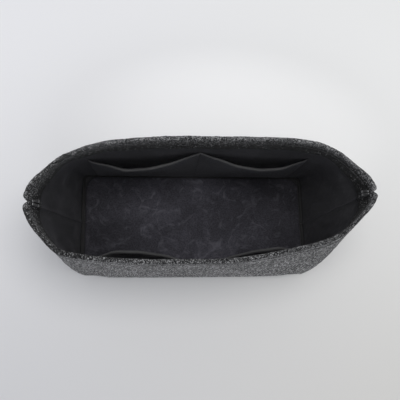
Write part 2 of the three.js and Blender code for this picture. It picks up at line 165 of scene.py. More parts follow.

# Painted light and shade on the felt: lighter outside; darker on the hem, topstitch, right end, left
# flank, front fold
OUTSIDE_PAINTED_LIGHT = 1.5
GROOVE_PAINTED_SHADE = 0.4
HEM_GROOVE_PAINTED_SHADE = 0.25
HEM_PAINTED_LIGHT = 0.58
HEM_EDGE_PAINTED_LIGHT = 0.06
SEAM_TAB_PAINTED_LIGHT = 0.3
STITCH_BAND_PAINTED_SHADE = 1.0
STITCH_BAND_HALF = 2.6 * MM
END_SHADE_START = 50 * MM
END_SHADE_REACH = 60 * MM
RIGHT_HEM_SHADE_FALL = 1.6
FLANK_SHADE = 0.3
FOLD_PAINTED_LIGHT = {"back": 0.88, "front": 0.5}

# Stitching: threads, pitches, the groove that the topstitch draws in, the tacks and the base seam
THREAD = 0.32 * MM
BASE_THREAD = 0.26 * MM
TACK_THREAD = 0.3 * MM
THREAD_SIDES = 6
TOPSTITCH_PITCH = 3.6 * MM
SEAM_PITCH = 3.0 * MM
GROOVE_DEPTH = 0.75 * MM
HEM_GROOVE_DEPTH = 0.25 * MM
GROOVE_HALF = 0.95 * MM
TACK_LENGTH = 8 * MM
TACK_WIDTH = 2 * MM
TACK_MARGIN = 1.5 * MM
TACK_STITCHES = 15
BASE_STITCHES = 150
BASE_STITCH_WIDTH = 1.7 * MM
BASE_STITCH_RISE = 1.1 * MM
# How deep stitches lie in the cloth or how far they stand off it, and where the runs start and end
BASE_STITCH_LOW = 0.25 * MM
TOPSTITCH_INSET = 0.05 * MM
RIM_STITCH_SHARES = (0.004, 0.996)
HEM_STITCH_LIFT = 0.12 * MM
HEM_STITCH_SKIP = 3
SEAM_STITCH_LIFT = 0.55 * MM
SEAM_STITCH_RANGE = (10 * MM, 110 * MM)
POCKET_STITCH_LIFT = 0.1 * MM
POCKET_STITCH_FOOT = WALL_FOOT + 6 * MM
POCKET_STITCH_MARGIN = 3 * MM
TACK_LIFT = 0.2 * MM
TACK_SLANT = 0.3 * MM
TACK_SPINE_DROP = 0.1 * MM

# Base plates: lumps that fade in from the edge, the painted shade along the edge, and the least ring
# sizes
PLATE_POINTS = 260
PLATE_LUMP = 0.08 * MM
PLATE_LUMP_LENGTH = 34 * MM
PLATE_EDGE = 2 * MM
PLATE_EDGE_FADE = 6 * MM
EDGE_SHADE_REACH = 10 * MM
EDGE_SHADE_FADE = 8 * MM
NARROWEST = 0.05 * MM
SHARPEST_CORNER = 0.02 * MM

# The loose board's cover: rumples (height, wavelength, seed, waves) and a few long creases
BOARD_CORNER = 12 * MM
# How far in from its edge the cover is painted darker, as painted shade
BOARD_EDGE = 3 * MM
COVER_POINTS = 300
COVER_ROWS = 26
COVER_EDGE_FADE = 9 * MM
RUMPLE_ROOM = 0.3 * MM
SLEEVE_MOUTH_DEPTH = 1.1 * MM
SLEEVE_MOUTH_HALF = 1.0 * MM
RUMPLES = ((0.20 * MM, 33 * MM, 81, 12), (0.12 * MM, 14 * MM, 82, 14))
CREASES = 9
CREASE_SPREAD = np.array((95 * MM, 42 * MM))
CREASE_REACH = (12 * MM, 34 * MM)
CREASE_HEIGHT = 0.34 * MM
CREASE_HALF = 2.2 * MM
CREASE_BEND = 3 * MM
CREASE_BEND_LENGTH = 11 * MM

# How the cloth has settled, as in the solids: the mouth sways forwards at the left and back at the right
LEFT_SWAY = -1.4 * MM
RIGHT_SWAY = 7.4 * MM
SWAY_REACH = 117 * MM
SWAY_POWER = 1.25
# Places along the length: where, how far they reach, and how far they shift, or by what share they widen
LEFT_FLANK_SWAY = (-131 * MM, 29 * MM, -4.2 * MM)
SWELLS = (
    (-131 * MM, 16 * MM, 0.094),
    (-75 * MM, 25 * MM, -0.038),
    (80 * MM, 37 * MM, -0.08),
    (161 * MM, 26 * MM, -0.237),
)
# The walls belly out above the foot, along the front and at the four corners
FRONT_BELLY = 4 * MM
CORNER_BELLY = 5.5 * MM
CORNER_START = 85 * MM
CORNER_REACH = 30 * MM
BELLY_REACH = 35 * MM
CORNER_BELLY_POWER = 0.7
FRONT_BELLY_FOOT = 0.12
FRONT_BELLY_POWER = 1.5
# Slight waves of the soft walls and of the rim
WALL_WAVE = 0.35 * MM
WALL_WAVE_LENGTH = 95 * MM
RIM_WAVE = 0.4 * MM
RIM_WAVE_LENGTH = 120 * MM
SIDES_APART = 120 * MM
SIDE_SOFTNESS = 20 * MM

# Plan outlines of the back half


def arc(x, y, radius, start, end, steps):
    """Points of an arc, angles in radians."""
    turn = np.linspace(start, end, steps + 1)
    return np.stack([x + radius * np.cos(turn), y + radius * np.sin(turn)], -1)


def unit(vectors):
    return vectors / np.linalg.norm(vectors, axis=-1, keepdims=True)


def along_path(places, run, values):
    """Values of two columns at places along a path."""
    return np.stack([np.interp(places, run, values[:, i]) for i in (0, 1)], -1)


class Outline:
    """A plan outline of the back half, from the left end seam round the back to the right end seam."""

    def __init__(self, points):
        steps = np.linalg.norm(np.diff(points, axis=0), axis=1)
        apart = steps > SAME_SPOT
        self.points = points[np.concatenate([[True], apart])]
        run = np.concatenate([[0], np.cumsum(steps[apart])])
        self.length = run[-1]
        self.run = run / self.length
        self.slope = np.gradient(self.points, self.run, axis=0)

    def at(self, share):
        return along_path(share, self.run, self.points)

    def along(self, share):
        return along_path(share, self.run, self.slope)


def line(start, end, steps):
    return np.linspace(start, end, steps + 1)


def mirrored_outline(half, steps):
    """A left half, a straight middle and the same half mirrored."""
    right = half[::-1] * (-1, 1)
    return Outline(np.concatenate([half, line(half[-1], right[0], steps), right]))


def make_foot_outline():
    x = BASE_LENGTH / 2
    y = BASE_DEPTH / 2 - BASE_CORNER
    end = line((-x, SEAM_EDGE), (-x, y), 20)
    corner = arc(-x + BASE_CORNER, y, BASE_CORNER, PI, PI / 2, 24)
    return mirrored_outline(np.concatenate([end, corner]), 80)


def make_mouth_outline():
    tip_x = MOUTH_LENGTH / 2 - TIP_RADIUS
    shoulder_y = MOUTH_DEPTH / 2 - SHOULDER_RADIUS
    rise = TIP_RADIUS - SHOULDER_RADIUS - math.cos(FLANK_ANGLE) * (shoulder_y - SEAM_EDGE)
    shoulder_x = tip_x + rise / math.sin(FLANK_ANGLE)
    square = PI / 2
    tip = arc(-tip_x, SEAM_EDGE, TIP_RADIUS, PI, square + FLANK_ANGLE, 20)
    shoulder = arc(-shoulder_x, shoulder_y, SHOULDER_RADIUS, square + FLANK_ANGLE, square, 40)
    flank = line(tip[-1], shoulder[0], 16)
    return mirrored_outline(np.concatenate([tip, flank, shoulder]), 60)


FOOT = make_foot_outline()
MOUTH = make_mouth_outline()


def wall(share, inset, height):
    """Points of the back wall: a share of the way round, an inset from the outside, and a height."""
    share, inset, height = np.broadcast_arrays(share, inset, height)
    rise = height / HEIGHT
    lift = rise[..., None]
    plan = FOOT.at(share) * (1 - lift) + MOUTH.at(share) * lift
    along = unit(FOOT.along(share) * (1 - lift) + MOUTH.along(share) * lift)
    x = plan[..., 0] + along[..., 1] * inset
    y = plan[..., 1] - along[..., 0] * inset
    run = FOOT.length * (1 - rise) + MOUTH.length * rise
    to_seam = np.minimum(share, 1 - share) * run
    pull = np.maximum(0, 1 - to_seam / NOTCH_REACH) ** 2 * np.maximum(0, 1 - inset / (2 * HEM_INNER))
    depth = NOTCH_FOOT * (1 - rise) + NOTCH_TOP * rise
    x = x + np.sign(0.5 - share) * depth * pull
    return np.stack([x, y, height], -1)


def from_seam(share):
    """Distance along the rim to the nearer end seam."""
    return np.minimum(share, 1 - share) * MOUTH.length


def ripples(points, wavelength, seed, count=10):
    """A smooth random swell, from about -1 to 1, of one typical wavelength."""
    draw = np.random.default_rng(seed)
    waves = draw.normal(size=(count, points.shape[-1]))
    waves *= 2 * PI / wavelength / np.linalg.norm(waves, axis=1, keepdims=True)
    phase = draw.uniform(0, 2 * PI, count)
    return np.sin(points @ waves.T + phase).sum(-1) * math.sqrt(1 / count)


def smooth(t):
    t = np.clip(t, 0, 1)
    return t * t * (3 - 2 * t)


def bump_at(value, middle, reach, size):
    return size * np.exp(-(((value - middle) / reach) ** 2))


def settle(points):
    """The same sway, swell, belly and waves for every sewn piece, so that the layers keep their gaps."""
    x, y, z = points[..., 0], points[..., 1], points[..., 2]
    up = np.clip((z - WALL_FOOT) / (HEIGHT - WALL_FOOT), 0, 1)
    rise = up**SWAY_POWER
    ends = LEFT_SWAY * smooth(-x / SWAY_REACH) + RIGHT_SWAY * smooth(x / SWAY_REACH)
    swell = sum(bump_at(x, *spot) for spot in SWELLS)
    sway = ends + bump_at(x, *LEFT_FLANK_SWAY) + y * swell
    corner = smooth((np.abs(x) - CORNER_START) / CORNER_REACH)
    corner_belly = corner * smooth(np.abs(y) / BELLY_REACH) * np.sin(PI * up**CORNER_BELLY_POWER)
    front = (1 - corner) * smooth(-y / BELLY_REACH)
    front_belly = front * smooth(up / FRONT_BELLY_FOOT) * (1 - up) ** FRONT_BELLY_POWER
    side = np.tanh(y / SIDE_SOFTNESS)
    plan = np.stack([x, SIDES_APART * side], -1)
    wave = WALL_WAVE * ripples(plan, WALL_WAVE_LENGTH, 3) * side
    lift = RIM_WAVE * ripples(plan, RIM_WAVE_LENGTH, 5)
    x_out = np.sign(x) * CORNER_BELLY * corner_belly
    y_out = rise * (sway + wave) - FRONT_BELLY * front_belly
    return np.stack([x + x_out, y + y_out, z + rise * lift], -1)


def place(side, share, inset, height):
    """Wall points of one side, settled. The front is the back turned half a turn."""
    points = wall(share, inset, height)
    if side == "front":
        points = points * (-1, -1, 1)
    return settle(points)


def outward(side, share, height):
    """Unit vectors that point out of the felt."""
    step = 0.2 * MM
    return unit(place(side, share, -step, height) - place(side, share, step, height))


# Meshes


def add_object(name, data):
    made = bpy.data.objects.new(name, data)
    bpy.context.scene.collection.objects.link(made)
    return made


def make_piece(name, node, blocks, material, body="insert"):
    """A mesh of several skins in place of a CAD node. A block is (points, cloth coordinates, faces)."""
    points = np.concatenate([b[0].reshape(-1, 3) for b in blocks])
    cloth = np.concatenate([b[1].reshape(-1, 3) for b in blocks])
    faces = []
    start = 0
    for block in blocks:
        faces += [[i + start for i in face] for face in block[2]]
        start += block[0].size // 3
    mesh = bpy.data.meshes.new(name)
    mesh.from_pydata(points.tolist(), [], faces)
    grain = mesh.attributes.new("cloth", "FLOAT_VECTOR", "POINT")
    grain.data.foreach_set("vector", cloth.astype(np.float32).ravel())
    shaped = bmesh.new()
    shaped.from_mesh(mesh)
    bmesh.ops.remove_doubles(shaped, verts=shaped.verts, dist=SAME_POINT)
    bmesh.ops.recalc_face_normals(shaped, faces=shaped.faces)
    shaped.to_mesh(mesh)
    shaped.free()
    mesh.polygons.foreach_set("use_smooth", [True] * len(mesh.polygons))
    mesh.set_sharp_from_angle(angle=SHARP_ANGLE)
    mesh.materials.append(material)
    piece = add_object(name, mesh)
    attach(piece, body)
    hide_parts(node)
    return piece


def skin(rings, cloth, capped=True):
    """Quads through rows of closed rings of points: rings[row, place, xyz]."""
    rows, count = rings.shape[:2]
    index = np.arange(rows * count).reshape(rows, count)
    ahead = np.roll(index, -1, 1)
    quads = np.stack([index[:-1], ahead[:-1], ahead[1:], index[1:]], -1)
    faces = quads.reshape(-1, 4).tolist()
    if capped:
        faces.append(index[0][::-1].tolist())
        faces.append(index[-1].tolist())
    return rings, cloth, faces


def run_of(profile):
    """Length along a profile of points."""
    steps = np.linalg.norm(np.diff(profile, axis=0), axis=1)
    return np.concatenate([[0], np.cumsum(steps)])


def upright(inset, start, end, count):
    """Points of a straight stretch of a profile."""
    return [(inset, z) for z in np.linspace(start, end, count)]


def spread(profile, shares):
    """A profile repeated round the wall: insets, heights, and places along and across the cloth."""
    grid = np.zeros((len(shares), len(profile)))
    inset = grid + profile[:, 0]
    height = grid + profile[:, 1]
    return inset, height, grid + shares[:, None] * MOUTH.length, grid + run_of(profile)


def stations(fine, coarse, fine_reach):
    """Shares of the way round a wall, close together beside the two end seams."""
    edge = fine_reach / MOUTH.length
    near = np.linspace(0, edge, max(2, round(fine_reach / fine)))
    far = np.linspace(1 - edge, 1, len(near))
    middle = np.linspace(edge, 1 - edge, round((1 - 2 * edge) * MOUTH.length / coarse))
    return np.concatenate([near, middle[1:-1], far])


# Procedural materials


def new_node(tree, kind, settings=None, **values):
    """A node with its settings, and its inputs set to a value or linked to a socket."""
    made = tree.nodes.new(kind)
    for key, value in (settings or {}).items():
        setattr(made, key, value)
    for key, value in values.items():
        name = key.replace("_", " ")
        socket = made.inputs[int(key[1:])] if key[0] == "i" and key[1:].isdigit() else made.inputs[name]
        if isinstance(value, bpy.types.NodeSocket):
            tree.links.new(value, socket)
        else:
            socket.default_value = value
    return made


def math_node(tree, operation, a, b=0.0, clamp=False):
    settings = {"operation": operation, "use_clamp": clamp}
    return new_node(tree, "ShaderNodeMath", settings, i0=a, i1=b).outputs[0]


def plus(tree, a, b):
    return math_node(tree, "ADD", a, b)


def times(tree, a, b):
    return math_node(tree, "MULTIPLY", a, b)


def mix_colour(tree, factor, a, b, blend="MIX"):
    settings = {"data_type": "RGBA", "blend_type": blend}
    return new_node(tree, "ShaderNodeMix", settings, i0=factor, i6=a, i7=b).outputs[2]


def shade_by(tree, colour, shade):
    return mix_colour(tree, 1.0, colour, shade, "MULTIPLY")


def parts_of(tree, vector):
    return new_node(tree, "ShaderNodeSeparateXYZ", i0=vector).outputs


def band(tree, value, low, high, out_low=0.0, out_high=1.0):
    """A value stretched from one range to another, with soft ends."""
    settings = {"interpolation_type": "SMOOTHSTEP"}
    values = {"i0": value, "i1": low, "i2": high, "i3": out_low, "i4": out_high}
    return new_node(tree, "ShaderNodeMapRange", settings, **values).outputs[0]


def fade(tree, value, start, end):
    """A value from 0 to 1, turned into one from start to end."""
    return band(tree, value, 0.0, 1.0, start, end)


def vector_node(tree, operation, **values):
    return new_node(tree, "ShaderNodeVectorMath", {"operation": operation}, **values)


def noise(tree, vector, scale, detail=2.0, roughness=0.5, distortion=0.0):
    values = {"Vector": vector, "Scale": scale, "Detail": detail, "Roughness": roughness}
    return new_node(tree, "ShaderNodeTexNoise", Distortion=distortion, **values).outputs[0]


def stretched(tree, vector, scale, turn):
    return new_node(tree, "ShaderNodeMapping", Vector=vector, Scale=scale, Rotation=turn).outputs[0]


def make_group(name, inputs, outputs):
    """An empty node group with named sockets: {name: (kind, value)}."""
    tree = bpy.data.node_groups.new(name, "ShaderNodeTree")
    for label, (kind, value) in inputs.items():
        socket = tree.interface.new_socket(name=label, in_out="INPUT", socket_type="NodeSocket" + kind)
        if value is not None:
            socket.default_value = value
    for label, kind in outputs.items():
        tree.interface.new_socket(name=label, in_out="OUTPUT", socket_type="NodeSocket" + kind)
    start = tree.nodes.new("NodeGroupInput")
    end = tree.nodes.new("NodeGroupOutput")
    return tree, start.outputs, end.inputs


def put_out(tree, result, **values):
    for label, value in values.items():
        tree.links.new(value, result[label])


def make_fibre_heather():
    """Matted fibres of three shades: crisp grains, some pale and some dark, over short streaks."""
    inputs = {
        "Vector": ("Vector", None),
        "Grain Scale": ("Float", 900.0),
        "Pale Share": ("Float", 0.4),
        "Dark": ("Color", (0.014, 0.014, 0.015, 1)),
        "Middle": ("Color", (0.062, 0.062, 0.064, 1)),
        "Light": ("Color", (0.29, 0.29, 0.297, 1)),
    }
    outputs = {"Color": "Color", "Height": "Float", "Fibre": "Float"}
    tree, given, result = make_group("fibre heather", inputs, outputs)
    vector = given["Vector"]
    scale = given["Grain Scale"]
    curl_scale = times(tree, scale, 0.7)
    curl = new_node(tree, "ShaderNodeTexNoise", Vector=vector, Scale=curl_scale, Detail=3.0)
    reach = math_node(tree, "DIVIDE", 1.6, scale)
    pushed = vector_node(tree, "SUBTRACT", i0=curl.outputs["Color"], i1=(0.5, 0.5, 0.5)).outputs[0]
    bent = vector_node(tree, "SCALE", i0=pushed, Scale=reach).outputs[0]
    curled = vector_node(tree, "ADD", i0=vector, i1=bent).outputs[0]
    grains = new_node(tree, "ShaderNodeTexVoronoi", Vector=curled, Scale=scale)
    chance = new_node(tree, "ShaderNodeSeparateColor", i0=grains.outputs["Color"])
    clumps = noise(tree, vector, times(tree, scale, 0.2), 2.0, 0.5)
    drift = times(tree, math_node(tree, "SUBTRACT", clumps, 0.5), 0.4)
    luck = plus(tree, chance.outputs[0], drift)
    above = plus(tree, luck, math_node(tree, "SUBTRACT", given["Pale Share"], 1.0))
    pale = band(tree, above, -0.03, 0.06)
    deep = band(tree, plus(tree, chance.outputs[1], drift), 0.4, 0.5, 1.0, 0.0)
    streaks = noise(tree, stretched(tree, vector, (0.35, 1.0, 1.0), (0.2, 0.3, 0.7)), scale, 2.0, 0.6)
    bright = band(tree, streaks, 0.3, 0.7, 0.55, 1.25)
    lightest = shade_by(tree, given["Light"], bright)
    colour = mix_colour(tree, deep, given["Middle"], given["Dark"])
    colour = mix_colour(tree, pale, colour, lightest)
    height = plus(tree, streaks, times(tree, pale, 0.5))
    put_out(tree, result, Color=colour, Height=height, Fibre=pale)
    return tree


def make_plain_weave():
    """A plain weave in the cloth's own coordinates: warp and weft pass over each other in turn."""
    inputs = {
        "Cloth": ("Vector", None),
        "Threads Per Metre": ("Float", 1600.0),
        "Slub": ("Float", 0.3),
    }
    tree, given, result = make_group("plain weave", inputs, {"Height": "Float", "Thread": "Float"})
    uneven = noise(tree, given["Cloth"], 90.0, 2.0, 0.5)
    wander = times(tree, uneven, given["Slub"])
    split = parts_of(tree, given["Cloth"])
    waves = []
    for axis in (0, 1):
        count = times(tree, split[axis], given["Threads Per Metre"])
        turn = times(tree, plus(tree, count, wander), PI)
        waves.append(math_node(tree, "SINE", turn))
    over = times(tree, waves[0], waves[1])
    warp = math_node(tree, "ABSOLUTE", waves[0])
    weft = math_node(tree, "ABSOLUTE", waves[1])
    warp_up = times(tree, warp, band(tree, over, -0.4, 0.4, 0.35, 1.0))
    weft_up = times(tree, weft, band(tree, over, -0.4, 0.4, 1.0, 0.35))
    height = math_node(tree, "MAXIMUM", warp_up, weft_up)
    put_out(tree, result, Height=height, Thread=band(tree, over, -0.5, 0.5))
    return tree


def make_mottle():
    """Handling marks: cloudy patches, and curled strokes where the nap lies the other way."""
    inputs = {
        "Vector": ("Vector", None),
        "Cloud Scale": ("Float", 30.0),
        "Stroke Scale": ("Float", 130.0),
        "Stroke Curl": ("Float", 2.5),
    }
    tree, given, result = make_group("nap mottle", inputs, {"Cloud": "Float", "Stroke": "Float"})
    cloud = noise(tree, given["Vector"], given["Cloud Scale"], 3.0, 0.55, 0.6)
    strokes = noise(tree, given["Vector"], given["Stroke Scale"], 3.0, 0.6, given["Stroke Curl"])
    put_out(tree, result, Cloud=band(tree, cloud, 0.32, 0.68), Stroke=band(tree, strokes, 0.5, 0.72))
    return tree


def make_lint():
    """Stray specks of lint caught on the cloth."""
    inputs = {"Vector": ("Vector", None), "Scale": ("Float", 60.0), "Size": ("Float", 0.05)}
    tree, given, result = make_group("lint", inputs, {"Speck": "Float"})
    bent = stretched(tree, given["Vector"], (1.0, 0.6, 1.0), (0.2, 0.5, 0.8))
    cells = new_node(tree, "ShaderNodeTexVoronoi", Vector=bent, Scale=given["Scale"])
    near = math_node(tree, "LESS_THAN", cells.outputs["Distance"], given["Size"])
    split = new_node(tree, "ShaderNodeSeparateColor", i0=cells.outputs["Color"])
    some = math_node(tree, "GREATER_THAN", split.outputs[0], 0.55)
    put_out(tree, result, Speck=times(tree, near, some))
    return tree


def make_oval():
    """How far a place is from the middle of an upright oval: 0 in the middle and 1 on the oval."""
    inputs = {
        "Vector": ("Vector", None),
        "Middle": ("Vector", (0, 0, 0)),
        "Reach": ("Vector", (1, 1, 1000)),
    }
    tree, given, result = make_group("oval", inputs, {"Away": "Float"})
    from_middle = vector_node(tree, "SUBTRACT", i0=given["Vector"], i1=given["Middle"]).outputs[0]
    share = vector_node(tree, "DIVIDE", i0=from_middle, i1=given["Reach"]).outputs[0]
    away = vector_node(tree, "DOT_PRODUCT", i0=share, i1=share).outputs["Value"]
    put_out(tree, result, Away=away)
    return tree


FIBRE_HEATHER = make_fibre_heather()
PLAIN_WEAVE = make_plain_weave()
NAP_MOTTLE = make_mottle()
LINT = make_lint()
OVAL = make_oval()


def place_group(tree, group, **values):
    return new_node(tree, "ShaderNodeGroup", {"node_tree": group}, **values).outputs


def start_material(name, **values):
    """A material with its Principled shader and its object coordinates."""
    made = bpy.data.materials.new(name)
    made.use_nodes = True
    tree = made.node_tree
    shader = tree.nodes["Principled BSDF"]
    for key, value in values.items():
        shader.inputs[key.replace("_", " ")].default_value = value
    where = tree.nodes.new("ShaderNodeTexCoord").outputs["Object"]
    return made, tree, shader, where


def cloth_place(tree):
    """The cloth's own coordinates: along it, across it, and a value for its painted light and shade."""
    return new_node(tree, "ShaderNodeAttribute", {"attribute_name": "cloth"}).outputs["Vector"]


def squeezed(tree, split, share):
    """Flat cloth coordinates with the height squeezed, which makes the grains stand taller."""
    height = times(tree, split[1], share)
    return new_node(tree, "ShaderNodeCombineXYZ", X=split[0], Y=height).outputs[0]


def finish_material(tree, shader, colour, roughness, height, strength, distance):
    tree.links.new(colour, shader.inputs["Base Color"])
    tree.links.new(roughness, shader.inputs["Roughness"])
    raised = new_node(tree, "ShaderNodeBump", Height=height, Strength=strength, Distance=distance)
    tree.links.new(raised.outputs["Normal"], shader.inputs["Normal"])


def make_heather_felt():
    sheen = {"Sheen_Weight": 0.06, "Sheen_Roughness": 0.5, "Sheen_Tint": (0.75, 0.75, 0.77, 1)}
    made, tree, shader, where = start_material("heather_felt", Specular_IOR_Level=0.2, **sheen)
    split = parts_of(tree, cloth_place(tree))
    # The cloth's third coordinate is a level of painted light: below 1 it paints shade, with a darker
    # ground and fewer pale grains, which stay pale; from 1.1 it picks the combed outside look with
    # whiter grains, painted lighter
    nap = split[2]
    share = fade(tree, nap, 0.06, 0.53)
    lie = squeezed(tree, split, 0.85)
    fibres = place_group(tree, FIBRE_HEATHER, Vector=lie, Grain_Scale=1350.0, Pale_Share=share)
    strands = squeezed(tree, split, 0.48)
    whiter = {"Pale_Share": 0.32, "Light": (0.5, 0.5, 0.508, 1)}
    combed = place_group(tree, FIBRE_HEATHER, Vector=strands, Grain_Scale=1150.0, **whiter)
    outside = band(tree, nap, 1.1, 1.4, 0.0, 0.66)
    colour = mix_colour(tree, outside, fibres["Color"], combed["Color"])
    worn = place_group(tree, NAP_MOTTLE, Vector=where, Cloud_Scale=22.0, Stroke_Scale=90.0)
    tone = fade(tree, worn["Cloud"], 0.9, 1.1)
    ground = fade(tree, nap, 0.34, 1.0)
    flecks = times(tree, fibres["Fibre"], fade(tree, nap, 0.4, 0.0))
    shade = times(tree, tone, plus(tree, ground, flecks))
    colour = shade_by(tree, colour, shade)
    roughness = fade(tree, fibres["Fibre"], 1.0, 0.82)
    finish_material(tree, shader, colour, roughness, fibres["Height"], strength=0.8, distance=0.6 * MM)
    return made


def make_black_lining():
    sheen = {"Sheen_Weight": 0.12, "Sheen_Roughness": 0.4, "Sheen_Tint": (0.6, 0.6, 0.68, 1)}
    made, tree, shader, where = start_material("black_lining", Specular_IOR_Level=0.35, **sheen)
    weft = (0.019, 0.019, 0.021, 1)
    warp = (0.032, 0.0315, 0.035, 1)
    stroked = (0.038, 0.038, 0.042, 1)
    lint = (0.11, 0.11, 0.12, 1)
    painted_light_colour = (0.053, 0.0525, 0.054, 1)
    grain = cloth_place(tree)
    weave = place_group(tree, PLAIN_WEAVE, Cloth=grain, Threads_Per_Metre=1500.0, Slub=0.5)
    marks = place_group(tree, NAP_MOTTLE, Vector=where, Cloud_Scale=26.0, Stroke_Scale=80.0)
    specks = place_group(tree, LINT, Vector=where, Scale=42.0, Size=0.022)
    colour = mix_colour(tree, weave["Thread"], weft, warp)
    colour = mix_colour(tree, marks["Stroke"], colour, stroked)
    tone = fade(tree, marks["Cloud"], 0.8, 1.2)
    colour = shade_by(tree, colour, tone)
    colour = mix_colour(tree, specks["Speck"], colour, lint)
    # The cloth's third coordinate paints light and shade: above 0 a paler colour is mixed in as painted
    # light, below 0 the colour is darkened as painted shade
    fold = parts_of(tree, grain)[2]
    uneven = fade(tree, marks["Cloud"], 0.55, 1.0)
    painted_light = math_node(tree, "MULTIPLY", fold, uneven, clamp=True)
    colour = mix_colour(tree, painted_light, colour, painted_light_colour)
    shaded = band(tree, fold, -1.0, 0.0, 0.22, 1.0)
    colour = shade_by(tree, colour, shaded)
    roughness = band(tree, weave["Height"], 0.2, 1.0, 0.85, 0.62)
    finish_material(tree, shader, colour, roughness, weave["Height"], strength=0.5, distance=0.2 * MM)
    return made


def make_brushed_cover():
    sheen = {"Sheen_Weight": 0.06, "Sheen_Roughness": 0.45, "Sheen_Tint": (0.6, 0.6, 0.66, 1)}
    made, tree, shader, where = start_material("brushed_cover", Specular_IOR_Level=0.25, **sheen)
    strokes = {"Stroke_Scale": 58.0, "Stroke_Curl": 2.2}
    marks = place_group(tree, NAP_MOTTLE, Vector=where, Cloud_Scale=20.0, **strokes)
    dark = (0.0228, 0.0222, 0.0275, 1)
    pale = (0.0358, 0.0346, 0.0425, 1)
    stroked = (0.0615, 0.0602, 0.0722, 1)
    lint = (0.15, 0.15, 0.16, 1)
    tones = {"Dark": dark, "Middle": pale, "Light": pale}
    nap = place_group(tree, FIBRE_HEATHER, Vector=where, Grain_Scale=1500.0, **tones)
    specks = place_group(tree, LINT, Vector=where, Scale=46.0, Size=0.03)
    brushed = times(tree, marks["Stroke"], 0.75)
    colour = mix_colour(tree, brushed, nap["Color"], stroked)
    tone = fade(tree, marks["Cloud"], 0.78, 1.2)
    # Painted light and shade: the cover is painted paler in an oval about its middle, darker towards its
    # ends, and darker along its edge
    oval = place_group(tree, OVAL, Vector=where, Middle=(-0.009, -0.005, 0), Reach=(0.102, 0.075, 1000))
    painted_light = fade(tree, oval["Away"], 1.6, 0.88)
    edge = parts_of(tree, cloth_place(tree))[2]
    painted_light = times(tree, painted_light, fade(tree, edge, 1.0, 0.85))
    colour = shade_by(tree, colour, times(tree, tone, painted_light))
    colour = mix_colour(tree, specks["Speck"], colour, lint)
    roughness = fade(tree, marks["Stroke"], 0.95, 0.8)
    height = plus(tree, nap["Height"], marks["Stroke"])
    finish_material(tree, shader, colour, roughness, height, strength=0.5, distance=0.4 * MM)
    return made


def make_thread(name, dark, light):
    made, tree, shader, where = start_material(name, Specular_IOR_Level=0.4)
    twist = place_group(tree, PLAIN_WEAVE, Cloth=where, Threads_Per_Metre=2600.0, Slub=0.2)
    colour = mix_colour(tree, twist["Thread"], dark, light)
    roughness = band(tree, twist["Height"], 0.2, 1.0, 0.75, 0.5)
    finish_material(tree, shader, colour, roughness, twist["Height"], strength=0.6, distance=0.1 * MM)
    return made


def make_stiff_board():
    made, tree, shader, where = start_material("stiff_board", Specular_IOR_Level=0.4)
    grit = place_group(tree, FIBRE_HEATHER, Vector=where, Grain_Scale=1100.0)
    marks = place_group(tree, NAP_MOTTLE, Vector=where, Cloud_Scale=18.0, Stroke_Scale=70.0)
    black = (0.02, 0.02, 0.021, 1)
    fleck = (0.05, 0.05, 0.05, 1)
    scuff = (0.04, 0.04, 0.041, 1)
    colour = mix_colour(tree, grit["Fibre"], black, fleck)
    colour = mix_colour(tree, marks["Stroke"], colour, scuff)
    roughness = fade(tree, marks["Cloud"], 0.5, 0.68)
    finish_material(tree, shader, colour, roughness, grit["Height"], strength=0.3, distance=0.2 * MM)
    return made


HEATHER_FELT = make_heather_felt()
BLACK_LINING = make_black_lining()
BRUSHED_COVER = make_brushed_cover()
RIM_THREAD = make_thread("rim_thread", (0.03, 0.03, 0.031, 1), (0.07, 0.07, 0.072, 1))
DARK_THREAD = make_thread("dark_thread", (0.012, 0.012, 0.013, 1), (0.03, 0.03, 0.032, 1))
STIFF_BOARD = make_stiff_board()

# Felt panels

OUTSIDE_FACE = -1
HIDDEN_FACE = 0
CAVITY_FACE = 1
FOLD_FACE = 2


def felt_profile():
    """The felt's section as (inset, height) points, and the face that each of them lies on."""
    flange = FOOT_BEND + FOOT_FLANGE
    groove_low = RIM_STITCH - 3 * GROOVE_HALF
    groove_high = RIM_STITCH + 3 * GROOVE_HALF
    foot = [(flange, 0), (flange - FLANGE_EDGE, 0)]
    foot += arc(FOOT_BEND, FOOT_BEND, FOOT_BEND, 1.5 * PI, PI, 8).tolist()
    outside = upright(0, WALL_FOOT, groove_low, 27)[1:-1]
    outside += upright(0, groove_low, groove_high, 13)
    outside += upright(0, groove_high, WALL_TOP, 5)[1:-1]
    fold = arc(RIM_RADIUS, WALL_TOP, RIM_RADIUS, PI, 0, 14).tolist()
    hem = upright(HEM_INNER, WALL_TOP, groove_high, 5)[1:-1]
    hem += upright(HEM_INNER, groove_high, groove_low, 13)
    hem += upright(HEM_INNER, groove_low, HEM_FOOT + FELT / 2, 8)[1:-1]
    turn = arc((HEM_INNER + HEM_OUTER) / 2, HEM_FOOT + FELT / 2, FELT / 2, 0, -PI, 6).tolist()
    back = upright(HEM_OUTER, HEM_FOOT + FELT / 2, LINING_TOP, 6)[1:]
    slot = arc(RIM_RADIUS, WALL_TOP, RIM_RADIUS - FELT, 0, PI, 6).tolist()
    inside = upright(FELT, LINING_TOP, WALL_FOOT, 14)[:-1]
    bend = arc(FOOT_BEND, FOOT_BEND, FOOT_BEND - FELT, PI, 1.5 * PI, 6).tolist()
    end = [(flange - FLANGE_EDGE, FELT), (flange, FELT)]
    hidden = turn + back + slot + inside + bend + end
    parts = (
        (foot + outside, OUTSIDE_FACE),
        (fold, FOLD_FACE),
        (hem, CAVITY_FACE),
        (hidden, HIDDEN_FACE),
    )
    profile = np.array([p for part, _ in parts for p in part])
    face = np.concatenate([[kind] * len(part) for part, kind in parts])
    return profile, face


def stitch_pull(run, height):
    """How hard the topstitch draws the felt in: most at the needle holes."""
    holes = np.cos(PI * run / TOPSTITCH_PITCH) ** 2
    return bump_at(height, RIM_STITCH, GROOVE_HALF, 1) * (0.6 + 0.4 * holes)


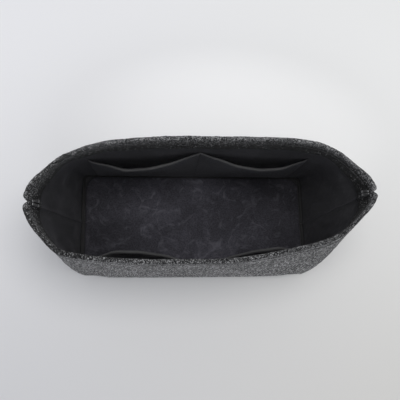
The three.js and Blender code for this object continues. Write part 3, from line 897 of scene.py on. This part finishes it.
def felt_wall(side):
    profile, face = felt_profile()
    shares = stations(*FELT_STEPS)
    share = shares[:, None]
    inset, height, run, across = spread(profile, shares)
    base = wall(share, inset, height)
    lumps = sum(size * ripples(base, length, seed, 16) for size, length, seed in LUMPS)
    pull = stitch_pull(run, height)
    outside = face == OUTSIDE_FACE
    cavity = face == CAVITY_FACE
    fold = face == FOLD_FACE
    inset[:, outside] += (GROOVE_DEPTH * pull - lumps)[:, outside]
    inset[:, cavity] += (lumps - HEM_GROOVE_DEPTH * pull)[:, cavity]
    loose = np.clip((RIM_STITCH - height) / (RIM_STITCH - HEM_FOOT), 0, 1) ** 1.5
    flutter = np.maximum(0, 0.5 + 0.6 * ripples(run[..., None], FLUTTER_LENGTH, 21, 6))
    edge = flutter * loose * HEM_FLUTTER * smooth(from_seam(share) / FLUTTER_RISE)
    free = cavity | (face == HIDDEN_FACE) & (profile[:, 1] < LINING_TOP) & (profile[:, 0] >= HEM_OUTER)
    free = free & (profile[:, 1] > HEM_FOOT - FELT)
    inset[:, free] += edge[:, free]
    puff = lumps + FOLD_PUFF * ripples(run[..., None], FOLD_PUFF_LENGTH, 23, 8)
    round_out = np.sin(np.clip((inset - RIM_RADIUS) / RIM_RADIUS, -1, 1) * PI / 2)
    inset[:, fold] += (puff * round_out)[:, fold]
    height[:, fold] += (puff * np.sqrt(1 - round_out**2))[:, fold]
    points = place(side, share, inset, height)
    # Painted light and shade, carried in the cloth's third coordinate as nap: the hem is painted darker
    # towards its loose edge, sooner at the right end; the outside is painted lighter, with a painted
    # dark band at the topstitch; the fold is painted darker at the front and on the left flank
    right_end_shade = smooth((points[..., 0] - END_SHADE_START) / END_SHADE_REACH)
    down = smooth((WALL_TOP - height) / (WALL_TOP - HEM_FOOT) * (1 + RIGHT_HEM_SHADE_FALL * right_end_shade))
    hem_light = HEM_PAINTED_LIGHT + (HEM_EDGE_PAINTED_LIGHT - HEM_PAINTED_LIGHT) * down
    stitch_band_shade = bump_at(height, RIM_STITCH, STITCH_BAND_HALF, STITCH_BAND_PAINTED_SHADE)
    outside_light = OUTSIDE_PAINTED_LIGHT - GROOVE_PAINTED_SHADE * pull - stitch_band_shade
    nap = np.where(outside, outside_light, hem_light * (1 - HEM_GROOVE_PAINTED_SHADE * pull))
    turned = smooth((profile[:, 0] - 0.3 * RIM_RADIUS) / (1.7 * RIM_RADIUS))
    flank = 1 - FLANK_SHADE * smooth((-points[..., 0] - END_SHADE_START) / END_SHADE_REACH)
    nap[:, fold] = ((FOLD_PAINTED_LIGHT[side] + (HEM_PAINTED_LIGHT - FOLD_PAINTED_LIGHT[side]) * turned) * flank)[:, fold]
    cloth = np.stack([run, across, nap], -1)
    return skin(points, cloth)


def seam_edge(side, share):
    """The felt's cut edge at an end seam: a soft tab that turns inwards beside the hem."""
    low = HEM_FOOT + 3 * ALLOWANCE_DROP
    high = HEIGHT - ALLOWANCE_DROP
    root = (HEM_OUTER + HEM_INNER) / 2
    tip = HEM_INNER + ALLOWANCE_LENGTH
    thick = TAB_THICKNESS
    corner = TAB_CORNER
    section = np.concatenate([
        arc(SEAM_EDGE + corner, low + corner, corner, 1.5 * PI, PI, 4),
        line((SEAM_EDGE, low + corner), (SEAM_EDGE, high - corner), 12)[1:-1],
        arc(SEAM_EDGE + corner, high - corner, corner, PI, PI / 2, 4),
        arc(SEAM_EDGE + thick - corner, high - corner, corner, PI / 2, 0, 4),
        line((SEAM_EDGE + thick, high - corner), (SEAM_EDGE + thick, low + corner), 12)[1:-1],
        arc(SEAM_EDGE + thick - corner, low + corner, corner, 0, -PI / 2, 4),
    ])
    way = np.linspace(0, 1, 24)[:, None]
    height = section[:, 1] * np.ones_like(way)
    shorter = smooth((high - height) / (high - low))
    inset = root + (tip - root) * way * (1 - TAB_SHORTER * shorter)
    sag = TAB_SAG * ripples(np.stack([inset, height], -1), TAB_SAG_LENGTH, 31) - TAB_DROOP * way**2
    height = height + sag * way
    x = wall(np.full_like(inset, share), inset, height)[..., 0]
    y = section[:, 0] + TAB_SPLAY * way**2 * np.abs(np.sin(height / HEIGHT * TAB_SPLAY_WAVES))
    points = np.stack([x, y * np.ones_like(inset), height], -1)
    fray = np.stack([ripples(points, TAB_FRAY_LENGTH, 41 + i, 12) for i in range(3)], -1)
    points += TAB_FRAY * fray * (1, 0.5, 1)
    points[..., 1] = np.maximum(points[..., 1], SEAM_EDGE)
    if side == "front":
        points = points * (-1, -1, 1)
    # The tabs get a low level of painted light, which paints them darker as painted shade
    cloth = np.stack([inset, height, np.full_like(height, SEAM_TAB_PAINTED_LIGHT)], -1)
    return skin(settle(points), cloth)


def make_felt_panel(side):
    blocks = [felt_wall(side), seam_edge(side, 0), seam_edge(side, 1)]
    return make_piece(f"{side}_felt", f"felt_{side}_panel", blocks, HEATHER_FELT)


# Lining


def end_puff(share, height):
    """The lining stands off the felt in soft folds beside the end seams."""
    run = from_seam(share)
    beside = smooth(run / PUFF_RISE) * smooth((PUFF_END - run) / PUFF_FADE)
    tall = smooth((height - PUFF_FOOT) / PUFF_FOOT_FADE) * smooth((PUFF_TOP - height) / PUFF_TOP_FADE)
    where = np.stack(np.broadcast_arrays(share * MOUTH.length, height * 0.45), -1)
    folds = 0.55 + 0.45 * ripples(where, PUFF_LENGTH, 51, 8)
    return PUFF * beside * tall * np.clip(folds, 0, 1.2)


def make_lining_panel(side):
    shares = stations(*LINING_STEPS)
    share = shares[:, None]
    turn = CLOTH + FOOT_ROUND
    turn_z = LINING_FLOOR + CLOTH + LAP_GAP + turn
    edge = LINING_OUTER + turn
    bare = np.linspace(turn_z, HEM_FOOT, 44)
    levels = np.concatenate([bare, np.linspace(HEM_FOOT, LINING_TOP, 6)[1:]])
    foot_out = [(edge + FOOT_LAP, turn_z - turn), *arc(edge, turn_z, turn, 1.5 * PI, PI, 5)[:-1]]
    foot_in = [*arc(edge, turn_z, turn - CLOTH, PI, 1.5 * PI, 5)[1:]]
    foot_in.append((edge + FOOT_LAP, turn_z - turn + CLOTH))
    outer = [(LINING_OUTER, z) for z in levels]
    inner = [(LINING_INNER, z) for z in levels[::-1]]
    profile = np.concatenate([foot_out, outer, inner, foot_in])
    inset, height, run, across = spread(profile, shares)
    inset += end_puff(share, height)
    points = place(side, share, inset, height)
    # Painted shade: the lining is painted darker beside the end seams and at its foot
    at_seam = SEAM_SHADE * smooth(1 - from_seam(share) / SEAM_CREASE)
    at_foot = smooth((FOOT_CREASE - height) / (0.3 * FOOT_CREASE))
    cloth = np.stack([run, across, -np.maximum(at_seam, at_foot)], -1)
    blocks = [skin(points, cloth)]
    return make_piece(f"{side}_lining", f"lining_{side}_panel", blocks, BLACK_LINING)


# Pockets


def pocket_share(across):
    return 0.5 + across * POCKET_HALF_WIDTH / MOUTH.length


def pocket_open(side, across):
    """How far a mouth stands open: more from the tack to its widest place, then less to the sewn end."""
    way = np.abs(across)
    peak = POCKET_PEAK[side]
    opening = np.sin(PI / 2 * np.minimum(way / peak, 1))
    closing = np.cos(PI / 2 * np.clip((way - peak) / (1 - peak), 0, 1))
    return opening * np.maximum(0, closing) ** POCKET_END_FULLNESS


def pocket_edge(side, across):
    return POCKET_TOP - POCKET_SIDE_DROP * across**2 - POCKET_SAG * pocket_open(side, across)


def pocket_stand(side, across, height):
    """Inset of the pocket cloth's wall side: flat at its ends and middle, standing open between them."""
    reach = np.clip((height - WALL_FOOT) / (pocket_edge(side, across) - WALL_FOOT), 0, 1.05)
    spot = np.stack([across * POCKET_HALF_WIDTH, height * 0.35], -1)
    drape = POCKET_DRAPE * ripples(spot, DRAPE_LENGTH, 61, 7)
    stand = POCKET_BULGE[side] * (1 + POCKET_LEAN[side] * across) + drape
    return POCKET_OUTER + stand * pocket_open(side, across) * reach**POCKET_FLARE


def make_pocket_panel(side):
    across = np.linspace(-1, 1, POCKET_COLUMNS)[:, None]
    top = pocket_edge(side, across)
    hem = top - POCKET_HEM
    hem_way = np.linspace(0, 1, POCKET_HEM_ROWS + 1)[None, 1:]
    up = WALL_FOOT + (hem - WALL_FOOT) * np.linspace(0, 1, POCKET_ROWS)[None]
    hem_up = hem + (top - hem) * hem_way
    wall_z = np.concatenate([up, hem_up], 1)
    roll = MOUTH_ROLL * pocket_open(side, across)
    rolled = roll * smooth(hem_way)
    turn = np.linspace(PI, 0, 9)[None, 1:-1]
    fold_z = top + (MOUTH_RISE + 0.3 * roll) * np.sin(turn)
    fold_out = (CLOTH + roll / 2) * (1 + np.cos(turn)) - roll
    step_z = np.concatenate([hem, hem - POCKET_HEM_STEP], 1)
    step_out = np.concatenate([hem * 0 + 2 * CLOTH, hem * 0 + CLOTH], 1)
    height = np.concatenate([wall_z, fold_z, hem_up[:, ::-1], step_z, up[:, ::-1][:, 1:]], 1)
    lip = MOUTH_LIP * np.linspace(0, 1, POCKET_HEM_ROWS)[None, ::-1] ** 3
    out = np.concatenate([
        up * 0,
        -rolled,
        fold_out,
        hem_up * 0 + 2 * CLOTH + lip,
        step_out,
        up[:, 1:] * 0 + CLOTH,
    ], 1)
    inset = pocket_stand(side, across * np.ones_like(height), height) + out
    points = place(side, pocket_share(across), inset, height)
    run = across * POCKET_HALF_WIDTH * np.ones_like(height)
    # Painted highlight along each mouth's edge, and painted light that grows towards the pocket's foot
    fold = smooth((height - top + MOUTH_HIGHLIGHT) / MOUTH_HIGHLIGHT_FADE)
    foot = smooth((hem - height) / FOOT_LIGHT_FADE)
    cloth = np.stack([run, height, fold + FOOT_PAINTED_LIGHT * foot * (1 - fold)], -1)
    blocks = [skin(points, cloth)]
    return make_piece(f"{side}_pocket", f"{side}_pocket_panel", blocks, BLACK_LINING)


# Base panels


def plate_outline(length, depth, corner, count):
    """Points round a rounded rectangle, evenly spaced, anticlockwise from the right end's middle."""
    x = length / 2 - corner
    y = depth / 2 - corner
    middles = ((x, y), (-x, y), (-x, -y), (x, -y))
    corners = [arc(*spot, corner, i * PI / 2, (i + 1) * PI / 2, 16) for i, spot in enumerate(middles)]
    start = np.array([[length / 2, 0]])
    path = np.concatenate([start, *corners, start])
    run = run_of(path)
    even = np.linspace(0, run[-1], count + 1)[:-1]
    return along_path(even, run, path)


def plate_rings(length, depth, corner, low, high, count, rows):
    """Rings from the middle of the underside, round the edge, to the middle of the top."""
    half = depth / 2
    edge = (high - low) / 2
    flat = edge + (half - edge) * np.linspace(0, 1, rows + 1)
    side = np.linspace(-PI / 2, PI / 2, 9)[1:-1]
    insets = np.concatenate([flat[::-1], edge * (1 - np.cos(side)), flat])
    heights = np.concatenate([flat * 0 + low, (low + high) / 2 + edge * np.sin(side), flat * 0 + high])
    rings = []
    for inset, z in zip(insets, heights):
        across = max(depth - 2 * inset, NARROWEST)
        rounding = max(corner - inset, SHARPEST_CORNER)
        plan = plate_outline(length - 2 * inset, across, rounding, count)
        if inset > half - NARROWEST:
            plan[:, 1] = 0
        rings.append(np.concatenate([plan, np.full((count, 1), z)], 1))
    return np.array(rings), insets, heights


def make_plate(name, node, corner, rows, material, nap=0.0, edge_shade=0.0):
    low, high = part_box(node)
    size = high - low
    rings, insets, _ = plate_rings(size.x, size.y, corner, low.z, high.z, PLATE_POINTS, rows)
    on_top = smooth((insets - PLATE_EDGE) / PLATE_EDGE_FADE)[:, None]
    lumps = ripples(rings * (1, 1, 0), PLATE_LUMP_LENGTH, 71, 12)
    rings[..., 2] += PLATE_LUMP * nap * on_top * lumps
    # Painted shade along the plate's edge; nap sets the lumps' height and a level of painted light in
    # the cloth coordinates
    shade = edge_shade * smooth((EDGE_SHADE_REACH - insets) / EDGE_SHADE_FADE)[:, None, None]
    cloth = rings * (1, 1, 0) + (0, 0, 1) * (nap - shade)
    return make_piece(name, node, [skin(rings, cloth, capped=False)], material)


# The loose board's cover


def board_wrinkles(points):
    """Soft rumples and a few long creases of the cloth over the board."""
    plan = points[..., :2]
    rumple = sum(size * ripples(plan, length, seed, count) for size, length, seed, count in RUMPLES)
    draw = np.random.default_rng(83)
    for _ in range(CREASES):
        middle = draw.uniform(-CREASE_SPREAD, CREASE_SPREAD)
        turn = draw.uniform(0, PI)
        reach = draw.uniform(*CREASE_REACH)
        along = (plan - middle) @ (math.cos(turn), math.sin(turn))
        across = (plan - middle) @ (-math.sin(turn), math.cos(turn))
        bend = across + CREASE_BEND * np.sin(along / CREASE_BEND_LENGTH)
        rumple = rumple + CREASE_HEIGHT * np.exp(-((bend / CREASE_HALF) ** 2) - (along / reach) ** 2)
    return rumple


def make_board_cover():
    low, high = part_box("base_board_sleeve")
    size = high - low
    top = high.z - RUMPLE_ROOM
    grid = (COVER_POINTS, COVER_ROWS)
    rings, insets, heights = plate_rings(size.x, size.y, BOARD_CORNER, low.z, top, *grid)
    inner = smooth((insets - PLATE_EDGE) / COVER_EDGE_FADE)[:, None]
    middle = (low.z + high.z) / 2
    upper = (heights > middle)[:, None]
    rings[..., 2] += inner * np.where(upper, board_wrinkles(rings), 0)
    # The third cloth coordinate marks the cover's edge, which its material paints darker as painted
    # shade
    edge = smooth((BOARD_EDGE - insets) / BOARD_EDGE)[:, None, None]
    points, cloth, faces = skin(rings, rings * (1, 1, 0) + (0, 0, 1) * edge, capped=False)
    mouth_reach = size.y / 2 - BOARD_CORNER
    flat_points = points.reshape(-1, 3)
    kept = []
    for face in faces:
        spot = flat_points[face].mean(0)
        open_end = spot[0] > high.x - SLEEVE_MOUTH_DEPTH and abs(spot[1]) < mouth_reach
        if not (open_end and abs(spot[2] - middle) < SLEEVE_MOUTH_HALF):
            kept.append(face)
    blocks = [(points, cloth, kept)]
    piece = make_piece(
        "board_cover", "base_board_sleeve", blocks, BRUSHED_COVER, body="board"
    )
    cloth_depth = piece.modifiers.new("cloth", "SOLIDIFY")
    cloth_depth.thickness = CLOTH
    cloth_depth.offset = -1
    return piece


# Stitches


def stitch(start, end, out, radius, sink, rings=7):
    """One stitch: a thread that rises out of one needle hole and goes down into the next."""
    way = np.linspace(0, 1, rings)[:, None]
    arch = np.sin(PI * way) ** 0.5
    middle = start + (end - start) * way + out * ((arch - 1) * sink)
    ahead = unit(np.gradient(middle, axis=0))
    across = unit(np.cross(ahead, out))
    up = np.cross(across, ahead)
    turn = np.linspace(0, 2 * PI, THREAD_SIDES, endpoint=False)
    thick = radius * (0.72 + 0.28 * np.sin(PI * way))[:, :, None]
    section = across[:, None] * np.cos(turn)[None, :, None] + up[:, None] * np.sin(turn)[None, :, None]
    points = middle[:, None] + section * thick
    return skin(points, points)


def stitch_row(points, outs, radius, sink, gap):
    """Stitches between neighbouring needle holes."""
    row = []
    for a, b, out in zip(points[:-1], points[1:], outs[:-1]):
        margin = (b - a) * gap
        row.append(stitch(a + margin, b - margin, out, radius, sink))
    return row


def hole_shares(start, end, pitch):
    """Needle holes along the rim, on whole pitches."""
    first = math.ceil(start * MOUTH.length / pitch)
    last = math.floor(end * MOUTH.length / pitch)
    return np.arange(first, last + 1) * pitch / MOUTH.length


def make_rim_stitches(side):
    shares = hole_shares(*RIM_STITCH_SHARES, TOPSTITCH_PITCH)
    heights = np.full_like(shares, RIM_STITCH)
    outs = outward(side, shares, heights)
    outside = place(side, shares, TOPSTITCH_INSET, heights)
    row = stitch_row(outside, outs, THREAD, sink=0.55 * MM, gap=0.06)
    inside = place(side, shares, HEM_INNER + HEM_STITCH_LIFT, heights)
    shown = slice(HEM_STITCH_SKIP, -HEM_STITCH_SKIP)
    row += stitch_row(inside[shown], -outs[shown], THREAD, sink=0.5 * MM, gap=0.06)
    make_piece(f"{side}_rim_stitches", f"{side}_rim_topstitch", row, RIM_THREAD)


def make_end_seam_stitches(end):
    heights = np.arange(*SEAM_STITCH_RANGE, SEAM_PITCH)
    out = -1 if end == "left" else 1
    x = np.abs(wall(np.zeros_like(heights), -SEAM_STITCH_LIFT, heights)[:, 0]) * out
    points = settle(np.stack([x, x * 0, heights], -1))
    outs = np.tile((out, 0.0, 0.0), (len(points), 1))
    row = stitch_row(points, outs, THREAD, sink=0.7 * MM, gap=0.08)
    make_piece(f"{end}_seam_stitches", f"{end}_end_seam_stitch", row, DARK_THREAD)


def make_base_seam_stitches():
    """Slanting stitches that close the gap between the turned-in foot and the base panel."""
    inset = FOOT_BEND + FOOT_FLANGE + FOOT_SEAM_GAP / 2
    length = BASE_LENGTH - 2 * inset
    depth = BASE_DEPTH - 2 * inset
    corner = BASE_CORNER - inset
    width = BASE_STITCH_WIDTH
    inner = plate_outline(length - width, depth - width, corner - width / 2, BASE_STITCHES)
    outer = plate_outline(length + width, depth + width, corner + width / 2, BASE_STITCHES)
    row = []
    up = np.array((0.0, 0.0, 1.0))
    rise = BASE_STITCH_RISE * up
    for start, end in zip(inner, np.roll(outer, -1, 0)):
        a = np.array((*start, BASE_STITCH_LOW))
        b = np.array((*end, BASE_STITCH_LOW))
        row.append(stitch(a, b, -up, BASE_THREAD, sink=0.5 * MM))
        row.append(stitch(a + rise, b + rise, up, BASE_THREAD, sink=0.5 * MM))
    make_piece("base_seam_stitches", "base_seam_stitch", row, DARK_THREAD)


def make_pocket_stitches(side, label, across, top):
    heights = np.arange(POCKET_STITCH_FOOT, top, SEAM_PITCH)
    shares = np.full_like(heights, pocket_share(across))
    points = place(side, shares, POCKET_OUTER + CLOTH + POCKET_STITCH_LIFT, heights)
    outs = -outward(side, shares, heights)
    row = stitch_row(points, outs, THREAD * 0.85, sink=0.45 * MM, gap=0.1)
    name = f"{side}_pocket_{label}_stitches"
    make_piece(name, f"{side}_pocket_{label}_stitch", row, DARK_THREAD)


def make_pocket_tack(side):
    """A short bar of close stitches that holds the two pocket mouths down where they meet."""
    count = TACK_STITCHES
    heights = POCKET_TOP - TACK_MARGIN - TACK_LENGTH * np.linspace(0, 1, count)
    half = TACK_WIDTH / 2 / MOUTH.length
    face = POCKET_OUTER + 2 * CLOTH + TACK_LIFT
    left = place(side, np.full(count, 0.5 - half), face, heights)
    right = place(side, np.full(count, 0.5 + half), face, heights - TACK_SLANT)
    outs = -outward(side, np.full(count, 0.5), heights)
    row = [stitch(a, b, out, TACK_THREAD, sink=0.4 * MM) for a, b, out in zip(left, right, outs)]
    spine = place(side, np.array([0.5, 0.5]), face - TACK_SPINE_DROP, heights[[0, -1]])
    row.append(stitch(spine[0], spine[1], outs[0], 1.5 * TACK_THREAD, sink=0.3 * MM, rings=12))
    make_piece(f"{side}_tack", f"{side}_pocket_tack", row, DARK_THREAD)


# Assembly

for side in ("back", "front"):
    make_felt_panel(side)
    make_lining_panel(side)
    make_pocket_panel(side)
    make_rim_stitches(side)
    make_pocket_tack(side)
    left = -1 if side == "back" else 1
    edge_top = pocket_edge(side, 1.0) - POCKET_STITCH_MARGIN
    make_pocket_stitches(side, "left", left, edge_top)
    make_pocket_stitches(side, "right", -left, edge_top)
    make_pocket_stitches(side, "divider", 0, POCKET_TOP - TACK_MARGIN - TACK_LENGTH)

for end in ("left", "right"):
    make_end_seam_stitches(end)

corner = BASE_CORNER - FOOT_BEND - FOOT_FLANGE
make_plate(
    "base_felt", "felt_base_panel", corner, 18, HEATHER_FELT, nap=1.0
)
corner = BASE_CORNER - LINING_INNER
make_plate(
    "floor_lining", "lining_base_panel", corner, 20, BLACK_LINING, edge_shade=FLOOR_EDGE_SHADE
)
make_base_seam_stitches()
make_board_cover()

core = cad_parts["base_board_core"]
core.data.materials.clear()
core.data.materials.append(STIFF_BOARD)

# Floor, light and camera


def background_ray(tree):
    """Rays that show the background: the camera's, and those that gloss and glass send on."""
    path = tree.nodes.new("ShaderNodeLightPath").outputs
    seen = math_node(tree, "MAXIMUM", path["Is Camera Ray"], path["Is Glossy Ray"])
    return math_node(tree, "MAXIMUM", seen, path["Is Transmission Ray"])


FLOOR_SIZE = 6.0
FLOOR_DROP = 0.2 * MM
# How bright the painted light glows behind the basket
PAINTED_GLOW = 0.15


def make_floor():
    mesh = bpy.data.meshes.new("floor")
    shaped = bmesh.new()
    bmesh.ops.create_grid(shaped, x_segments=8, y_segments=8, size=FLOOR_SIZE)
    shaped.to_mesh(mesh)
    shaped.free()
    made, tree, shader, where = start_material("pale_floor", Specular_IOR_Level=0.15)
    # Painted shade: the floor is painted darker towards the front, most at the front left
    near_left = (0.61, 0.61, 0.63, 1)
    near_right = (0.65, 0.64, 0.62, 1)
    far_left = (0.92, 0.92, 0.945, 1)
    far_right = (0.94, 0.94, 0.935, 1)
    split = parts_of(tree, where)
    sideways = band(tree, split[0], -0.25, 0.3)
    depth = band(tree, split[1], -0.3, 0.25)
    near = mix_colour(tree, sideways, near_left, near_right)
    far = mix_colour(tree, sideways, far_left, far_right)
    colour = mix_colour(tree, depth, near, far)
    grit = noise(tree, where, 900.0, 2.0, 0.5)
    roughness = band(tree, grit, 0.3, 0.7, 0.75, 0.9)
    finish_material(tree, shader, colour, roughness, grit, strength=0.05, distance=0.2 * MM)
    # Painted light: an oval of floor behind the basket glows for camera, gloss and glass rays, lifting
    # the shade that the basket casts there
    seen = background_ray(tree)
    oval = place_group(tree, OVAL, Vector=where, Middle=(0.04, 0.1, 0), Reach=(0.2, 0.12, 1000))
    painted_glow = fade(tree, oval["Away"], PAINTED_GLOW, 0.0)
    tree.links.new(times(tree, painted_glow, seen), shader.inputs["Emission Color"])
    shader.inputs["Emission Strength"].default_value = 1.0
    mesh.materials.append(made)
    floor = add_object("floor", mesh)
    floor.location.z = -FLOOR_DROP


LAMP_AIM = Vector((0, 0, 50 * MM))


def make_light(name, place_at, size, power, colour):
    lamp = bpy.data.lights.new(name, "AREA")
    lamp.shape = "DISK"
    lamp.size = size
    lamp.energy = power
    lamp.color = colour
    holder = add_object(name, lamp)
    holder.location = place_at
    holder.rotation_euler = (LAMP_AIM - Vector(place_at)).to_track_quat("-Z", "Y").to_euler()


def make_world():
    world = bpy.data.worlds.new("studio")
    world.use_nodes = True
    tree = world.node_tree
    tree.nodes.clear()
    seen = background_ray(tree)
    soft = new_node(tree, "ShaderNodeBackground", Color=(0.95, 0.97, 1.0, 1), Strength=0.5)
    pale = new_node(tree, "ShaderNodeBackground", Color=(0.76, 0.76, 0.77, 1), Strength=1.0)
    both = new_node(tree, "ShaderNodeMixShader", i0=seen, i1=soft.outputs[0], i2=pale.outputs[0])
    end = tree.nodes.new("ShaderNodeOutputWorld")
    tree.links.new(both.outputs[0], end.inputs["Surface"])
    bpy.context.scene.world = world


# Turns of a camera that looks straight down: about its right, its top and its back
CAMERA_AT = Vector((-57.74, -119.27, 610.59)) * MM
CAMERA_TURNS = (("X", math.radians(13.42)), ("Y", math.radians(-5.89)), ("Z", math.radians(0.39)))
CAMERA_LENS = 52.28
SENSOR_WIDTH = 36
CLIP_START = 10 * MM


def make_camera():
    lens = bpy.data.cameras.new("camera")
    lens.lens = CAMERA_LENS
    lens.sensor_width = SENSOR_WIDTH
    lens.clip_start = CLIP_START
    camera = add_object("camera", lens)
    held = Matrix.Translation(CAMERA_AT)
    for axis, turn in CAMERA_TURNS:
        held = held @ Matrix.Rotation(turn, 4, axis)
    camera.matrix_world = held
    bpy.context.scene.camera = camera


make_floor()
make_world()
make_light("softbox", (0.08, 0.1, 1.5), size=0.9, power=8.2, colour=(1.0, 0.99, 0.97))
make_light("fill", (-0.1, -1.05, 0.9), size=1.0, power=3.2, colour=(0.95, 0.97, 1.0))
make_camera()
bpy.context.scene.view_settings.view_transform = "Standard"
